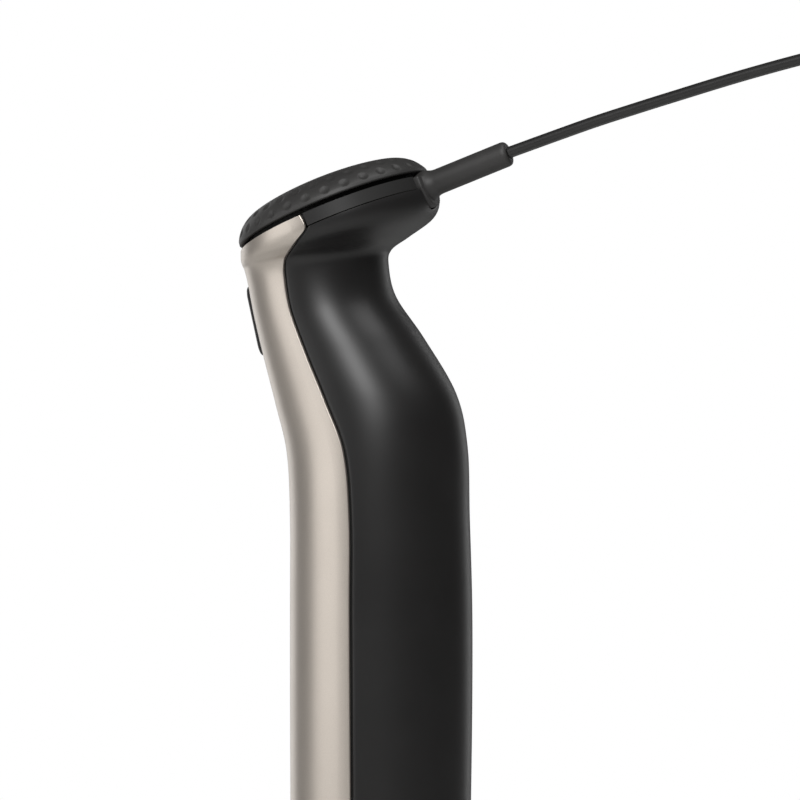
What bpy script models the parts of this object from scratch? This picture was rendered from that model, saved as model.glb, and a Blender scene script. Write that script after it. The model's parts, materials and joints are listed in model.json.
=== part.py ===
"""Immersion blender: motor body with a slanted speed dial, pull-off leg with a bell and blade, and a flat cord.

Frame: millimetres times MM, +Z up. The origin is on the floor, on the axis of the motor and of the leg.
The silver front with the trigger looks towards -X, the cord leaves towards +X, and -Y is the left side.
"""

import math

import bmesh
import bpy
from mathutils import Matrix, Vector

MM = 0.001
GAP = 0.4  # what neighbouring pieces keep between them

# Motor body: front point x, z, back point x, z and half width of each cross-section, from the bottom up
BODY_SECTIONS = (
    (-27.3, 230.5, 27.1, 230.5, 26.6),
    (-27.4, 260.0, 27.5, 260.0, 26.8),
    (-27.4, 290.0, 27.5, 290.0, 26.8),
    (-27.4, 316.0, 26.7, 317.0, 26.6),
    (-28.5, 335.9, 26.1, 338.1, 26.0),
    (-32.2, 350.4, 22.6, 354.1, 25.0),
    (-36.0, 364.3, 12.4, 370.7, 23.6),
    (-39.0, 376.3, 3.4, 383.2, 22.4),
    (-41.2, 386.8, 1.0, 392.7, 22.2),
    (-42.2, 390.8, 1.8, 397.4, 23.2),
    (-42.6, 391.9, 7.6, 401.7, 26.0),
    (-42.8, 392.8, 15.1, 407.4, 29.2),
    (-42.9, 393.8, 16.8, 413.1, 30.4),
    (-42.8, 395.7, 14.4, 419.1, 30.4),
)
ROWS_PER_SPAN = (1, 1, 2, 2, 3, 3, 3, 2, 2, 2, 2, 2, 2)
# Seam between the front and the rear shell: degrees from the front, at the cross-sections above
SEAM_DEGREES = (91.2, 90.6, 90.2, 90.8, 88.2, 82.5, 81.2, 82.3, 83.6, 85.4, 85.5, 86.0, 91.3, 90.5)
WALL = 2.4
SEAM_HALF = 1.0  # half the seam's open groove, in degrees
LAP_SKIN = 1.0  # thickness of the front shell's edge, which laps over the rear shell's tongue

# Head: the dial sits on a slanted plane
HEAD_TILT = math.radians(22.6)
DIAL_CENTRE = (-14.9, 408.9)
DIAL_RADIUS = 30.4
DIAL_GAP = 1.5
COLLAR_HEIGHT = 3.95
SLEEVE_EXIT = (40.6, 425.9)
SLEEVE_RISE = math.radians(20.7)
SLEEVE_RADIUS = 3.85
SLEEVE_LENGTH = 30.2

# Neck: the trigger's plane leans with the front of the neck
NECK_TILT = math.radians(13.0)
NECK_POINT = (-38.6, 375.5)

# Motor body and leg heights
COLLAR_BOTTOM = 200.4
COLLAR_TOP = 230.1
SHAFT_RADIUS = 3.0
DRIVE_RADIUS = 2.5
STACK = (262.0, 292.0)

# Leg
BELL_TOP = 58.0
TUBE_TOP = 172.6
BELL_RADIUS = 32.2
RIM_RADIUS = 33.2
BLADE_REACH = 19.0

# Release buttons
RELEASE_PIVOT = (21.3, 211.0)

# Cord: points x, z of its free run from the sleeve to just above the floor
CORD_POINTS = (
    (41.0, 426.1), (55.0, 430.8), (67.5, 434.9), (79.9, 438.6), (91.3, 441.9), (113.0, 448.0),
    (134.0, 453.2), (146.0, 455.2), (158.0, 454.5), (169.0, 450.2), (178.0, 441.5), (184.0, 429.5),
    (187.0, 415.0), (188.0, 396.0), (188.0, 350.0), (188.0, 290.0), (188.0, 230.0), (188.0, 170.0),
    (188.0, 120.0), (188.0, 85.0), (188.0, 60.0),
)
CORD_TUBE_RADIUS = 2.2
COIL_CENTRE = (156.0, 0.0)
COIL_RADIUS = 32.0
COIL_HALF = 7.4
COIL_HEIGHTS = (1.0, 12.6)


# ---------------------------------------------------------------- scene, materials and mesh helpers

def clear_scene():
    for old in list(bpy.data.objects):
        bpy.data.objects.remove(old, do_unlink=True)


def material(name, colour, roughness, metallic=0.0):
    made = bpy.data.materials.new(name)
    made.use_nodes = True
    shader = made.node_tree.nodes["Principled BSDF"]
    shader.inputs["Base Color"].default_value = (*colour, 1.0)
    shader.inputs["Roughness"].default_value = roughness
    shader.inputs["Metallic"].default_value = metallic
    return made


def body_empty(name, place):
    empty = bpy.data.objects.new(name, None)
    empty.location = Vector(place) * MM
    bpy.context.collection.objects.link(empty)
    return empty


def add_object(name, mesh_points, parent, finish, smooth=True):
    """Takes a bmesh in world millimetres and makes an object whose origin is its parent's."""
    mesh_points.normal_update()
    bmesh.ops.recalc_face_normals(mesh_points, faces=mesh_points.faces)
    mesh_points.transform(Matrix.Scale(MM, 4))
    mesh_points.transform(Matrix.Translation(-parent.location))
    mesh = bpy.data.meshes.new(name)
    mesh_points.to_mesh(mesh)
    mesh_points.free()
    mesh.materials.append(finish)
    if smooth:
        mesh.shade_smooth()
        mesh.set_sharp_from_angle(angle=math.radians(35))
    made = bpy.data.objects.new(name, mesh)
    bpy.context.collection.objects.link(made)
    made.parent = parent
    return made


def boolean(target, bm, operation):
    """Joins a bmesh to the target or cuts it away, through a wire-only helper object."""
    helper = add_object(f"{target.name}_{operation.lower()}_{len(target.modifiers)}", bm, target.parent,
                        target.data.materials[0], smooth=False)
    helper.hide_render = True
    helper.display_type = "WIRE"
    modifier = target.modifiers.new(helper.name, "BOOLEAN")
    modifier.operation = operation
    modifier.object = helper
    modifier.solver = "EXACT"


def cut(target, bm):
    boolean(target, bm, "DIFFERENCE")


def join(target, bm):
    boolean(target, bm, "UNION")


def loft(loops, closed=False):
    """Bridges equal loops of points one after another, and caps both ends unless closed."""
    bm = bmesh.new()
    rings = [[bm.verts.new(point) for point in loop] for loop in loops]
    count = len(rings[0])
    spans = len(rings) if closed else len(rings) - 1
    for i in range(spans):
        lower = rings[i]
        upper = rings[(i + 1) % len(rings)]
        for j in range(count):
            k = (j + 1) % count
            bm.faces.new((lower[j], lower[k], upper[k], upper[j]))
    if not closed:
        bm.faces.new(rings[0][::-1])
        bm.faces.new(rings[-1])
    return bm


def lathe(profile, segments=32, centre=(0.0, 0.0), frame=None):
    """Turns a closed outline of (radius, height) points about +Z; points on the axis become one vertex."""
    bm = bmesh.new()
    rings = []
    for radius, height in profile:
        if radius < 1e-6:
            rings.append([bm.verts.new((centre[0], centre[1], height))] * segments)
            continue
        ring = []
        for i in range(segments):
            angle = 2 * math.pi * i / segments
            place = (centre[0] + radius * math.cos(angle), centre[1] + radius * math.sin(angle), height)
            ring.append(bm.verts.new(place))
        rings.append(ring)
    for i, ring in enumerate(rings):
        following = rings[(i + 1) % len(rings)]
        for j in range(segments):
            k = (j + 1) % segments
            corners = []
            for vert in (ring[j], ring[k], following[k], following[j]):
                if vert not in corners:
                    corners.append(vert)
            if len(corners) > 2:
                bm.faces.new(corners)
    if frame is not None:
        bm.transform(frame)
    return bm


def tube(inner, outer, low, high, segments=32, centre=(0.0, 0.0), frame=None):
    profile = ((inner, low), (outer, low), (outer, high), (inner, high))
    return lathe(profile, segments, centre, frame)


def rod(radius, low, high, segments=24, centre=(0.0, 0.0), frame=None):
    return tube(0.0, radius, low, high, segments, centre, frame)


def box(low, high, frame=None):
    bm = bmesh.new()
    bmesh.ops.create_cube(bm, size=1.0)
    size = [b - a for a, b in zip(low, high)]
    middle = [(a + b) / 2 for a, b in zip(low, high)]
    bm.transform(Matrix.Translation(middle) @ Matrix.Diagonal((*size, 1.0)))
    if frame is not None:
        bm.transform(frame)
    return bm


def plate(outline, holes, low, high, frame=None):
    """Extrudes a flat outline with holes from low to high along +Z."""
    bm = bmesh.new()
    for loop in (outline, *holes):
        verts = [bm.verts.new((x, y, low)) for x, y in loop]
        for i, vert in enumerate(verts):
            bm.edges.new((vert, verts[(i + 1) % len(verts)]))
    bmesh.ops.triangle_fill(bm, edges=list(bm.edges), use_beauty=True)
    grown = bmesh.ops.extrude_face_region(bm, geom=list(bm.faces))
    moved = [item for item in grown["geom"] if isinstance(item, bmesh.types.BMVert)]
    bmesh.ops.translate(bm, verts=moved, vec=(0.0, 0.0, high - low))
    if frame is not None:
        bm.transform(frame)
    return bm


def circle(radius, segments=24, centre=(0.0, 0.0), phase=0.0):
    points = []
    for i in range(segments):
        angle = phase + 2 * math.pi * i / segments
        points.append((centre[0] + radius * math.cos(angle), centre[1] + radius * math.sin(angle)))
    return points


def rounded_box(half_u, half_v, corner, steps=4):
    """A rectangle with round corners, as (u, v) points."""
    points = []
    for quarter in range(4):
        sign_u = 1 if quarter in (0, 3) else -1
        sign_v = 1 if quarter in (0, 1) else -1
        for i in range(steps + 1):
            angle = math.pi / 2 * (quarter + i / steps)
            points.append((sign_u * (half_u - corner) + corner * math.cos(angle),
                           sign_v * (half_v - corner) + corner * math.sin(angle)))
    return points


def spring_mesh(radius, wire, turns, length, frame, per_turn=8, sides=4):
    """A helical spring about +Z from 0 to length, as a swept wire."""
    steps = int(turns * per_turn)
    loops = []
    for i in range(steps + 1):
        angle = 2 * math.pi * i / per_turn
        outward = Vector((math.cos(angle), math.sin(angle), 0.0))
        middle = outward * radius + Vector((0.0, 0.0, wire + (length - 2 * wire) * i / steps))
        loop = []
        for j in range(sides):
            turn = 2 * math.pi * j / sides
            loop.append(middle + outward * (wire * math.cos(turn)) + Vector((0.0, 0.0, wire * math.sin(turn))))
        loops.append(loop)
    bm = loft(loops)
    bm.transform(frame)
    return bm


# ---------------------------------------------------------------- frames

def head_frame():
    """Local x points back along the dial's plane, local z along the dial's axis, origin at its lower edge."""
    return Matrix.Translation((DIAL_CENTRE[0], 0.0, DIAL_CENTRE[1])) @ Matrix.Rotation(-HEAD_TILT, 4, "Y")


def neck_frame():
    """Local z points inward from the trigger's face, local x up along the neck, local y across."""
    lean = NECK_TILT
    up = Vector((-math.sin(lean), 0.0, math.cos(lean)))
    inward = Vector((math.cos(lean), 0.0, math.sin(lean)))
    across = inward.cross(up)
    turn = Matrix((up, across, inward)).transposed().to_4x4()
    return Matrix.Translation((NECK_POINT[0], 0.0, NECK_POINT[1])) @ turn


def along_y(y_low, x=0.0, z=0.0):
    """A frame whose local z runs along world +Y from y_low."""
    return Matrix.Translation((x, y_low, z)) @ Matrix.Rotation(-math.pi / 2, 4, "X")


def along_x(x_low, y=0.0, z=0.0):
    """A frame whose local z runs along world +X from x_low."""
    return Matrix.Translation((x_low, y, z)) @ Matrix.Rotation(math.pi / 2, 4, "Y")


# ---------------------------------------------------------------- motor body shells

def smooth_rows(keys, spans):
    """Rows read from a Catmull-Rom curve through the keys."""
    rows = []
    last = len(keys) - 1
    for i, count in enumerate(spans):
        before = keys[max(i - 1, 0)]
        start = keys[i]
        end = keys[i + 1]
        after = keys[min(i + 2, last)]
        for step in range(count):
            t = step / count
            row = []
            for a, b, c, d in zip(before, start, end, after):
                slope_in = (c - a) / 2
                slope_out = (d - b) / 2
                row.append((2 * t ** 3 - 3 * t ** 2 + 1) * b + (t ** 3 - 2 * t ** 2 + t) * slope_in
                           + (3 * t ** 2 - 2 * t ** 3) * c + (t ** 3 - t ** 2) * slope_out)
            rows.append(row)
    rows.append(list(keys[-1]))
    return rows


def body_rows():
    keys = [(*section, seam) for section, seam in zip(BODY_SECTIONS, SEAM_DEGREES)]
    return smooth_rows(keys, ROWS_PER_SPAN)


def section_point(row, degrees, depth):
    """A point of a cross-section: 0 degrees is the front, 90 the left side, 180 the back."""
    front = Vector((row[0], 0.0, row[1]))
    back = Vector((row[2], 0.0, row[3]))
    half = (back - front) / 2
    reach = half.length
    angle = math.radians(degrees)
    along = half.normalized() * (-(reach - depth) * math.cos(angle))
    return (front + back) / 2 + along + Vector((0.0, -(row[4] - depth) * math.sin(angle), 0.0))


def shell_loop(row, columns):
    outer = [section_point(row, degrees, deep) for degrees, deep, _ in columns]
    inner = [section_point(row, degrees, deep) for degrees, _, deep in columns]
    return outer + inner[::-1]


def front_columns(seam, steps=14):
    """Full wall in the middle, a thin skin along both edges."""
    edge = seam - SEAM_HALF
    step = edge - 8.5
    columns = [(-edge, 0.0, LAP_SKIN), (-step - 0.6, 0.0, LAP_SKIN)]
    columns += [(-step + 2 * step * i / steps, 0.0, WALL) for i in range(steps + 1)]
    columns += [(step + 0.6, 0.0, LAP_SKIN), (edge, 0.0, LAP_SKIN)]
    return columns


def rear_columns(seam, steps=14):
    """Full wall round the back, with a tongue that reaches under the front shell's edge on both sides."""
    edge = seam + SEAM_HALF
    tip = seam - 6.0
    tongue = LAP_SKIN + GAP
    columns = [(tip, tongue, WALL), (edge - 0.6, tongue, WALL)]
    columns += [(edge + (360 - 2 * edge) * i / steps, 0.0, WALL) for i in range(steps + 1)]
    columns += [(360 - edge + 0.6, tongue, WALL), (360 - tip, tongue, WALL)]
    return columns


def neck_outline(half_up, half_across, corner, low, high):
    return plate(rounded_box(half_up, half_across, corner), (), low, high, neck_frame())


def notch_outline(clearance, low, high):
    """The upright U that the cord sleeve's foot fills at the back of the head."""
    half = 7.2 + clearance
    top = 2.0 if clearance else -1.7
    bottom_centre = -4.1
    points = [(top, -half), (top, half)]
    points += [(bottom_centre - half * math.sin(math.pi * i / 10), half * math.cos(math.pi * i / 10))
               for i in range(11)]
    swap = Matrix(((0, 0, 1, 0), (0, 1, 0, 0), (1, 0, 0, 0), (0, 0, 0, 1)))
    return plate(points, (), low, high, head_frame() @ swap)


def make_housings(root, silver, soft_black):
    rows = body_rows()
    front = add_object("front_housing", loft([shell_loop(row, front_columns(row[5])) for row in rows]), root, silver)
    cut(front, neck_outline(11.5, 7.5, 3.0, -8.0, 6.0))
    rear = add_object("rear_housing", loft([shell_loop(row, rear_columns(row[5])) for row in rows]), root, soft_black)
    collar_line = -DIAL_GAP - COLLAR_HEIGHT - 0.3
    cut(rear, box((-50.0, -50.0, collar_line), (50.0, 50.0, 20.0), head_frame()))
    cut(rear, notch_outline(GAP, 26.2, 40.0))


def make_top_collar(root, hard_black):
    """The plate that carries the dial, and its band from one edge of the front shell round to the other."""
    low = -DIAL_GAP - COLLAR_HEIGHT
    corners = ((DIAL_RADIUS, low), (DIAL_RADIUS, -DIAL_GAP - 0.5), (DIAL_RADIUS - 0.5, -DIAL_GAP),
               (27.0, -DIAL_GAP), (27.0, low))
    reach = math.radians(88.4)
    steps = 18
    loops = []
    for i in range(steps + 1):
        angle = reach * (2 * i / steps - 1)
        across = Vector((math.cos(angle), math.sin(angle), 0.0))
        loops.append([head_frame() @ (across * radius + Vector((0.0, 0.0, height))) for radius, height in corners])
    collar = add_object("top_collar", loft(loops), root, hard_black)
    join(collar, tube(3.9, 27.6, -DIAL_GAP - 2.2, -DIAL_GAP - 0.1, 32, frame=head_frame()))
    cut(collar, notch_outline(GAP, 26.2, 40.0))


def make_strain_relief(root, rubber):
    foot = add_object("strain_relief", notch_outline(0.0, 26.6, 31.0), root, rubber)
    start = -SLEEVE_LENGTH
    profile = ((0.0, start), (SLEEVE_RADIUS + 0.4, start), (SLEEVE_RADIUS + 0.4, start + 4.6),
               (SLEEVE_RADIUS, start + 7.0), (SLEEVE_RADIUS, -0.9), (SLEEVE_RADIUS - 0.9, 0.0), (0.0, 0.0))
    lie = Matrix.Rotation(math.pi / 2 - SLEEVE_RISE, 4, "Y")
    sleeve = Matrix.Translation((SLEEVE_EXIT[0], 0.0, SLEEVE_EXIT[1])) @ lie
    join(foot, lathe(profile, 24, frame=sleeve))


def make_lower_collar(root, hard_black):
    bottom = COLLAR_BOTTOM
    profile = ((17.6, bottom), (26.6, bottom), (26.9, bottom + 3.0), (27.1, COLLAR_TOP), (23.7, COLLAR_TOP),
               (23.7, COLLAR_TOP + 4.4), (22.2, COLLAR_TOP + 4.4), (22.2, COLLAR_TOP - 2.0), (24.6, COLLAR_TOP - 4.0),
               (24.6, bottom + 2.2), (17.6, bottom + 2.2))
    collar = add_object("lower_collar", lathe(profile, 36), root, hard_black)
    pivot_y, pivot_z = RELEASE_PIVOT
    for side in (-1, 1):
        near, far = sorted((side * (pivot_y - 2.2), side * 25.6))
        for lug_x in (-6.6, 4.8):
            join(collar, box((lug_x, near, pivot_z - 2.4), (lug_x + 1.8, far, pivot_z + 2.4)))
    for side in (-1, 1):
        near, far = sorted((side * 20.0, side * 30.0))
        cut(collar, box((-6.4, near, 213.4), (6.4, far, 226.8)))
        cut(collar, rod(1.3, -9.0, 9.0, 12, frame=along_x(0.0, side * pivot_y, pivot_z)))
    for direction in (0, math.pi):
        for i in range(5):
            spin = Matrix.Rotation(direction + math.radians(16 * (i - 2)), 4, "Z")
            cut(collar, box((20.0, -1.1, 209.0), (30.0, 1.1, 223.0), spin))


# ---------------------------------------------------------------- motor

def stator_outline():
    """Bore, pole shoes and coil slots of a two-pole field, as one closed line; the poles are on the X axis."""
    bore, shoe, yoke = 12.8, 15.2, 18.2
    spans = ((bore, -50, 50), (shoe, 50, 24), (yoke, 24, 156), (shoe, 156, 130),
             (bore, 130, 230), (shoe, 230, 204), (yoke, 204, 336), (shoe, 336, 310))
    points = []
    for radius, start, end in spans:
        steps = max(3, round(abs(end - start) / 11))
        for i in range(steps + 1):
            angle = math.radians(start + (end - start) * i / steps)
            points.append((radius * math.cos(angle), radius * math.sin(angle)))
    return points


def bolt_places():
    return [(20.1 * math.cos(math.radians(d)), 20.1 * math.sin(math.radians(d))) for d in (62, 242)]


def saddle_coil(direction):
    """Four limbs of a saddle coil as one ring of sections, each at its own place on the stator's radius."""
    low, high = STACK[0] - 5.0, STACK[1] + 5.0
    path = []
    steps = 6
    for i in range(steps + 1):
        path.append((-46.0 + 92.0 * i / steps, low, -24.0 + 48.0 * i / steps, low + 4.4))
    for i in range(steps + 1):
        path.append((46.0 - 92.0 * i / steps, high, 24.0 - 48.0 * i / steps, high - 4.4))
    loops = []
    for angle_out, z_out, angle_in, z_in in path:
        loop = []
        for radius, degrees, z in ((15.7, angle_out, z_out), (17.7, angle_out, z_out),
                                   (17.7, angle_in, z_in), (15.7, angle_in, z_in)):
            angle = direction + math.radians(degrees)
            loop.append(Vector((radius * math.cos(angle), radius * math.sin(angle), z)))
        loops.append(loop)
    return loft(loops, closed=True)


def make_motor(root, steel, copper, plastic, brass, carbon):
    bolts = [circle(1.6, 8, place) for place in bolt_places()]
    add_object("motor_stator", plate(circle(22.2, 32), (stator_outline(), *bolts), *STACK), root, steel)
    add_object("field_coil_front", saddle_coil(math.pi), root, copper)
    add_object("field_coil_back", saddle_coil(0.0), root, copper)
    vents = [circle(3.6, 8, (14.6 * math.cos(a), 14.6 * math.sin(a)))
             for a in [math.radians(15 + 60 * i) for i in range(6)]]
    lower_holes = (circle(7.4, 16), *bolts, *vents)
    add_object("lower_motor_mount", plate(circle(23.6, 28), lower_holes, 236.0, 239.5), root, plastic)
    upper_holes = (circle(7.4, 16), *bolts, *vents)
    add_object("upper_motor_mount", plate(circle(23.6, 28), upper_holes, 312.0, 315.0), root, plastic)
    add_object("lower_bearing", tube(SHAFT_RADIUS + GAP, 7.0, 235.6, 240.0, 16), root, brass)
    add_object("upper_bearing", tube(SHAFT_RADIUS + GAP, 7.0, 311.5, 316.0, 16), root, brass)
    for name, place in zip(("motor_bolt_left", "motor_bolt_right"), bolt_places()):
        bolt = ((0.0, 234.9), (1.2, 234.9), (1.2, 315.4), (2.6, 315.4), (2.6, 317.4), (0.0, 317.4))
        add_object(name, lathe(bolt, 12, place), root, steel)
    for name, side in (("left", -1), ("right", 1)):
        start = 9.2 if side > 0 else -23.0
        window = [(-2.7, -2.2), (2.7, -2.2), (2.7, 2.2), (-2.7, 2.2)]
        holder = plate([(-4.0, -3.6), (4.0, -3.6), (4.0, 3.6), (-4.0, 3.6)], (window,), 0.0, 13.8,
                       along_y(start, 0.0, 307.5))
        add_object(f"brush_holder_{name}", holder, root, brass, smooth=False)
        near, far = sorted((side * 8.5, side * 18.0))
        add_object(f"carbon_brush_{name}", box((-2.3, near, 305.7), (2.3, far, 309.3)), root, carbon, smooth=False)


def armature_outline(teeth=12):
    points = []
    for i in range(teeth):
        start = 360 / teeth * i
        for radius, degrees in ((12.3, 0), (12.3, 11), (12.3, 22), (9.4, 22), (9.4, 30)):
            angle = math.radians(start + degrees)
            points.append((radius * math.cos(angle), radius * math.sin(angle)))
    return points


def fan_outline(blades=9):
    """Swept blades round a hub."""
    points = []
    for i in range(blades):
        start = 360 / blades * i
        for radius, degrees in ((6.2, 0), (12.0, 14), (18.0, 34), (18.0, 40), (12.0, 21.5), (6.2, 13)):
            angle = math.radians(start + degrees)
            points.append((radius * math.cos(angle), radius * math.sin(angle)))
    return points


def make_rotor(rotor, steel, copper, plastic):
    add_object("motor_shaft", rod(SHAFT_RADIUS, 214.0, 321.0), rotor, steel)
    bore = circle(SHAFT_RADIUS + GAP, 16)
    armature = add_object("armature", plate(armature_outline(), (bore,), STACK[0] + 1, STACK[1] - 1), rotor, steel)
    ends = ((SHAFT_RADIUS + GAP, 257.0), (8.0, 257.0), (10.6, 260.0), (10.6, 294.0), (8.0, 298.0),
            (SHAFT_RADIUS + GAP, 298.0))
    join(armature, lathe(ends, 16))
    rings = ((SHAFT_RADIUS + GAP, 300.0), (9.4, 300.0), (9.4, 302.0), (8.0, 302.2), (8.0, 311.0),
             (SHAFT_RADIUS + GAP, 311.0))
    add_object("commutator", lathe(rings, 18), rotor, copper)
    add_object("cooling_fan", plate(fan_outline(), (bore,), 243.5, 252.5), rotor, plastic)
    coupling = ((5.6, 208.0), (7.6, 208.0), (7.6, 219.0), (5.0, 224.0), (SHAFT_RADIUS + GAP, 224.0),
                (SHAFT_RADIUS + GAP, 216.0), (5.6, 214.0))
    add_object("drive_coupling", lathe(coupling, 18), rotor, plastic)


# ---------------------------------------------------------------- neck and head insides

def make_neck(root, plastic, board_green, steel, dark):
    frame = neck_frame()
    bracket = add_object("neck_frame", box((-15.0, -11.0, 20.0), (13.0, 11.0, 22.0), frame), root, plastic)
    for low in (-7.4, 5.4):
        join(bracket, box((4.6, low, 4.9), (12.4, low + 2.0, 20.8), frame))
    pin_turn = frame @ Matrix.Translation((8.5, 0.0, 8.0)) @ Matrix.Rotation(math.pi / 2, 4, "X")
    cut(bracket, rod(1.8, -9.0, 9.0, 16, frame=pin_turn))
    add_object("trigger_pin", rod(1.4, -8.0, 8.0, 16, frame=pin_turn), root, steel)
    switch = add_object("micro_switch", box((-12.0, -3.4, 8.4), (-1.5, 3.4, 19.6), frame), root, dark, smooth=False)
    cut(switch, rod(1.7, 4.0, 15.0, 16, frame=frame @ Matrix.Translation((-6.0, 0.0, 0.0))))
    board = [(-36.0, -15.0), (6.0, -13.0), (6.0, 13.0), (-36.0, 15.0)]
    add_object("control_board", plate(board, (), 24.0, 25.6, frame), root, board_green, smooth=False)
    sink = []
    for i in range(5):
        left = -9.0 + 4.0 * i
        sink += [(left, 36.0), (left + 1.6, 36.0), (left + 1.6, 29.0), (left + 4.0, 29.0)]
    sink = sink[:-1] + [(8.6, 26.2), (-9.0, 26.2)]
    upright = frame @ Matrix.Translation((-34.0, 0.0, 0.0)) @ Matrix(((0, 0, 1, 0), (1, 0, 0, 0), (0, 1, 0, 0),
                                                                     (0, 0, 0, 1)))
    add_object("heat_sink", plate(sink, (), 0.0, 16.0, upright), root, steel, smooth=False)
    can = frame @ Matrix.Translation((-24.0, 0.0, 0.0))
    add_object("capacitor", rod(5.5, 11.0, 23.6, 20, frame=can), root, dark)


def make_trigger(trigger, plastic):
    """A crowned button that follows the neck's round front, with a lug for its pin and a post for the switch."""
    frame = neck_frame()
    levels = ((3.4, 0.0), (-0.2, 0.0), (-1.0, 0.7), (-1.5, 2.4))
    raised = 0.2  # leaves more room at the lower edge, which drops as the trigger turns
    loops = []
    for depth, inset in levels:
        outline = rounded_box(10.75 - inset, 7.0 - inset, 2.6 - 0.3 * inset, 4)
        curve = 0.0 if depth > 3 else 1 / 44
        loops.append([frame @ Vector((u + raised, v, depth + curve * v * v)) for u, v in outline])
    button = add_object("trigger", loft(loops), trigger, plastic)
    join(button, box((5.2, -4.6, 3.0), (10.6, 4.6, 10.8), frame))
    join(button, rod(1.6, 3.0, 5.6, 12, frame=frame @ Matrix.Translation((-6.0, 0.0, 0.0))))
    pin_turn = frame @ Matrix.Translation((8.5, 0.0, 8.0)) @ Matrix.Rotation(math.pi / 2, 4, "X")
    cut(button, rod(1.8, -9.0, 9.0, 16, frame=pin_turn))


def make_trigger_spring(root, steel):
    place = neck_frame() @ Matrix.Translation((1.8, 0.0, 3.9))
    add_object("trigger_spring", spring_mesh(2.2, 0.4, 5, 15.6, place), root, steel)


def make_dial(dial, rubber, steel):
    """A dished knob: domed top, thin skirt and a boss with a blind bore for the spindle."""
    frame = head_frame()
    dome = ((0.0, 9.9), (5.8, 9.75), (11.7, 9.3), (16.8, 8.65), (21.3, 7.85), (24.6, 6.9), (27.2, 5.4),
            (29.1, 3.4), (30.15, 1.7), (DIAL_RADIUS, 0.0))
    inside = ((28.8, 0.0), (27.6, 2.4), (24.0, 4.6), (16.0, 6.4), (6.6, 7.2), (5.0, 6.6), (5.0, -0.7),
              (2.0, -0.7), (2.0, 5.2), (0.0, 5.2))
    add_object("speed_dial", lathe(dome + inside, 36, frame=frame), dial, rubber)
    add_object("dial_spindle", rod(1.6, -9.4, 4.8, 16, frame=frame), dial, steel)


def make_head(root, hard_black, dark):
    frame = head_frame()
    pot = ((2.0, -1.2), (2.0, -10.0), (0.0, -10.0), (0.0, -11.0), (7.0, -11.0), (7.0, -4.2), (3.5, -4.2), (3.5, -1.2))
    add_object("potentiometer", lathe(pot, 20, frame=frame), root, dark)
    clamp = rounded_box(3.0, 8.0, 1.0, 2)
    add_object("cord_clamp", plate(clamp, (circle(1.2, 10, (0.0, 5.5)), circle(1.2, 10, (0.0, -5.5))), -9.0, -6.0,
                                   frame @ Matrix.Translation((20.5, 0.0, 0.0))), root, hard_black, smooth=False)


# ---------------------------------------------------------------- release buttons

def make_release(root, body, name, side, plastic, steel):
    """A rocker: the button above its pin, the hook for the leg's groove below it."""
    pivot_y, pivot_z = RELEASE_PIVOT
    outline = ((22.8, 225.4), (26.4, 225.4), (27.9, 223.8), (28.1, 219.8), (27.9, 215.6), (26.4, 214.0),
               (23.4, 214.0), (23.0, 205.0), (22.4, 203.4), (17.5, 203.4), (17.5, 205.6), (20.4, 206.8),
               (20.0, 212.0), (21.6, 214.0))
    turn = Matrix(((0, 0, 1, 0), (side, 0, 0, 0), (0, 1, 0, 0), (0, 0, 0, 1)))
    lever = add_object(f"release_button_{name}", plate(outline, (), -3.9, 3.9, turn), body, plastic)
    for low, high in ((-6.0, -3.6), (3.6, 6.0)):
        near, far = sorted((side * 23.4, side * 27.4))
        join(lever, box((low, near, 214.2), (high, far, 225.2)))
    cut(lever, rod(1.3, -9.0, 9.0, 12, frame=along_x(0.0, side * pivot_y, pivot_z)))
    add_object(f"release_pin_{name}", rod(0.95, -7.6, 7.6, 12, frame=along_x(0.0, side * pivot_y, pivot_z)), root, steel)


# ---------------------------------------------------------------- leg

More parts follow.
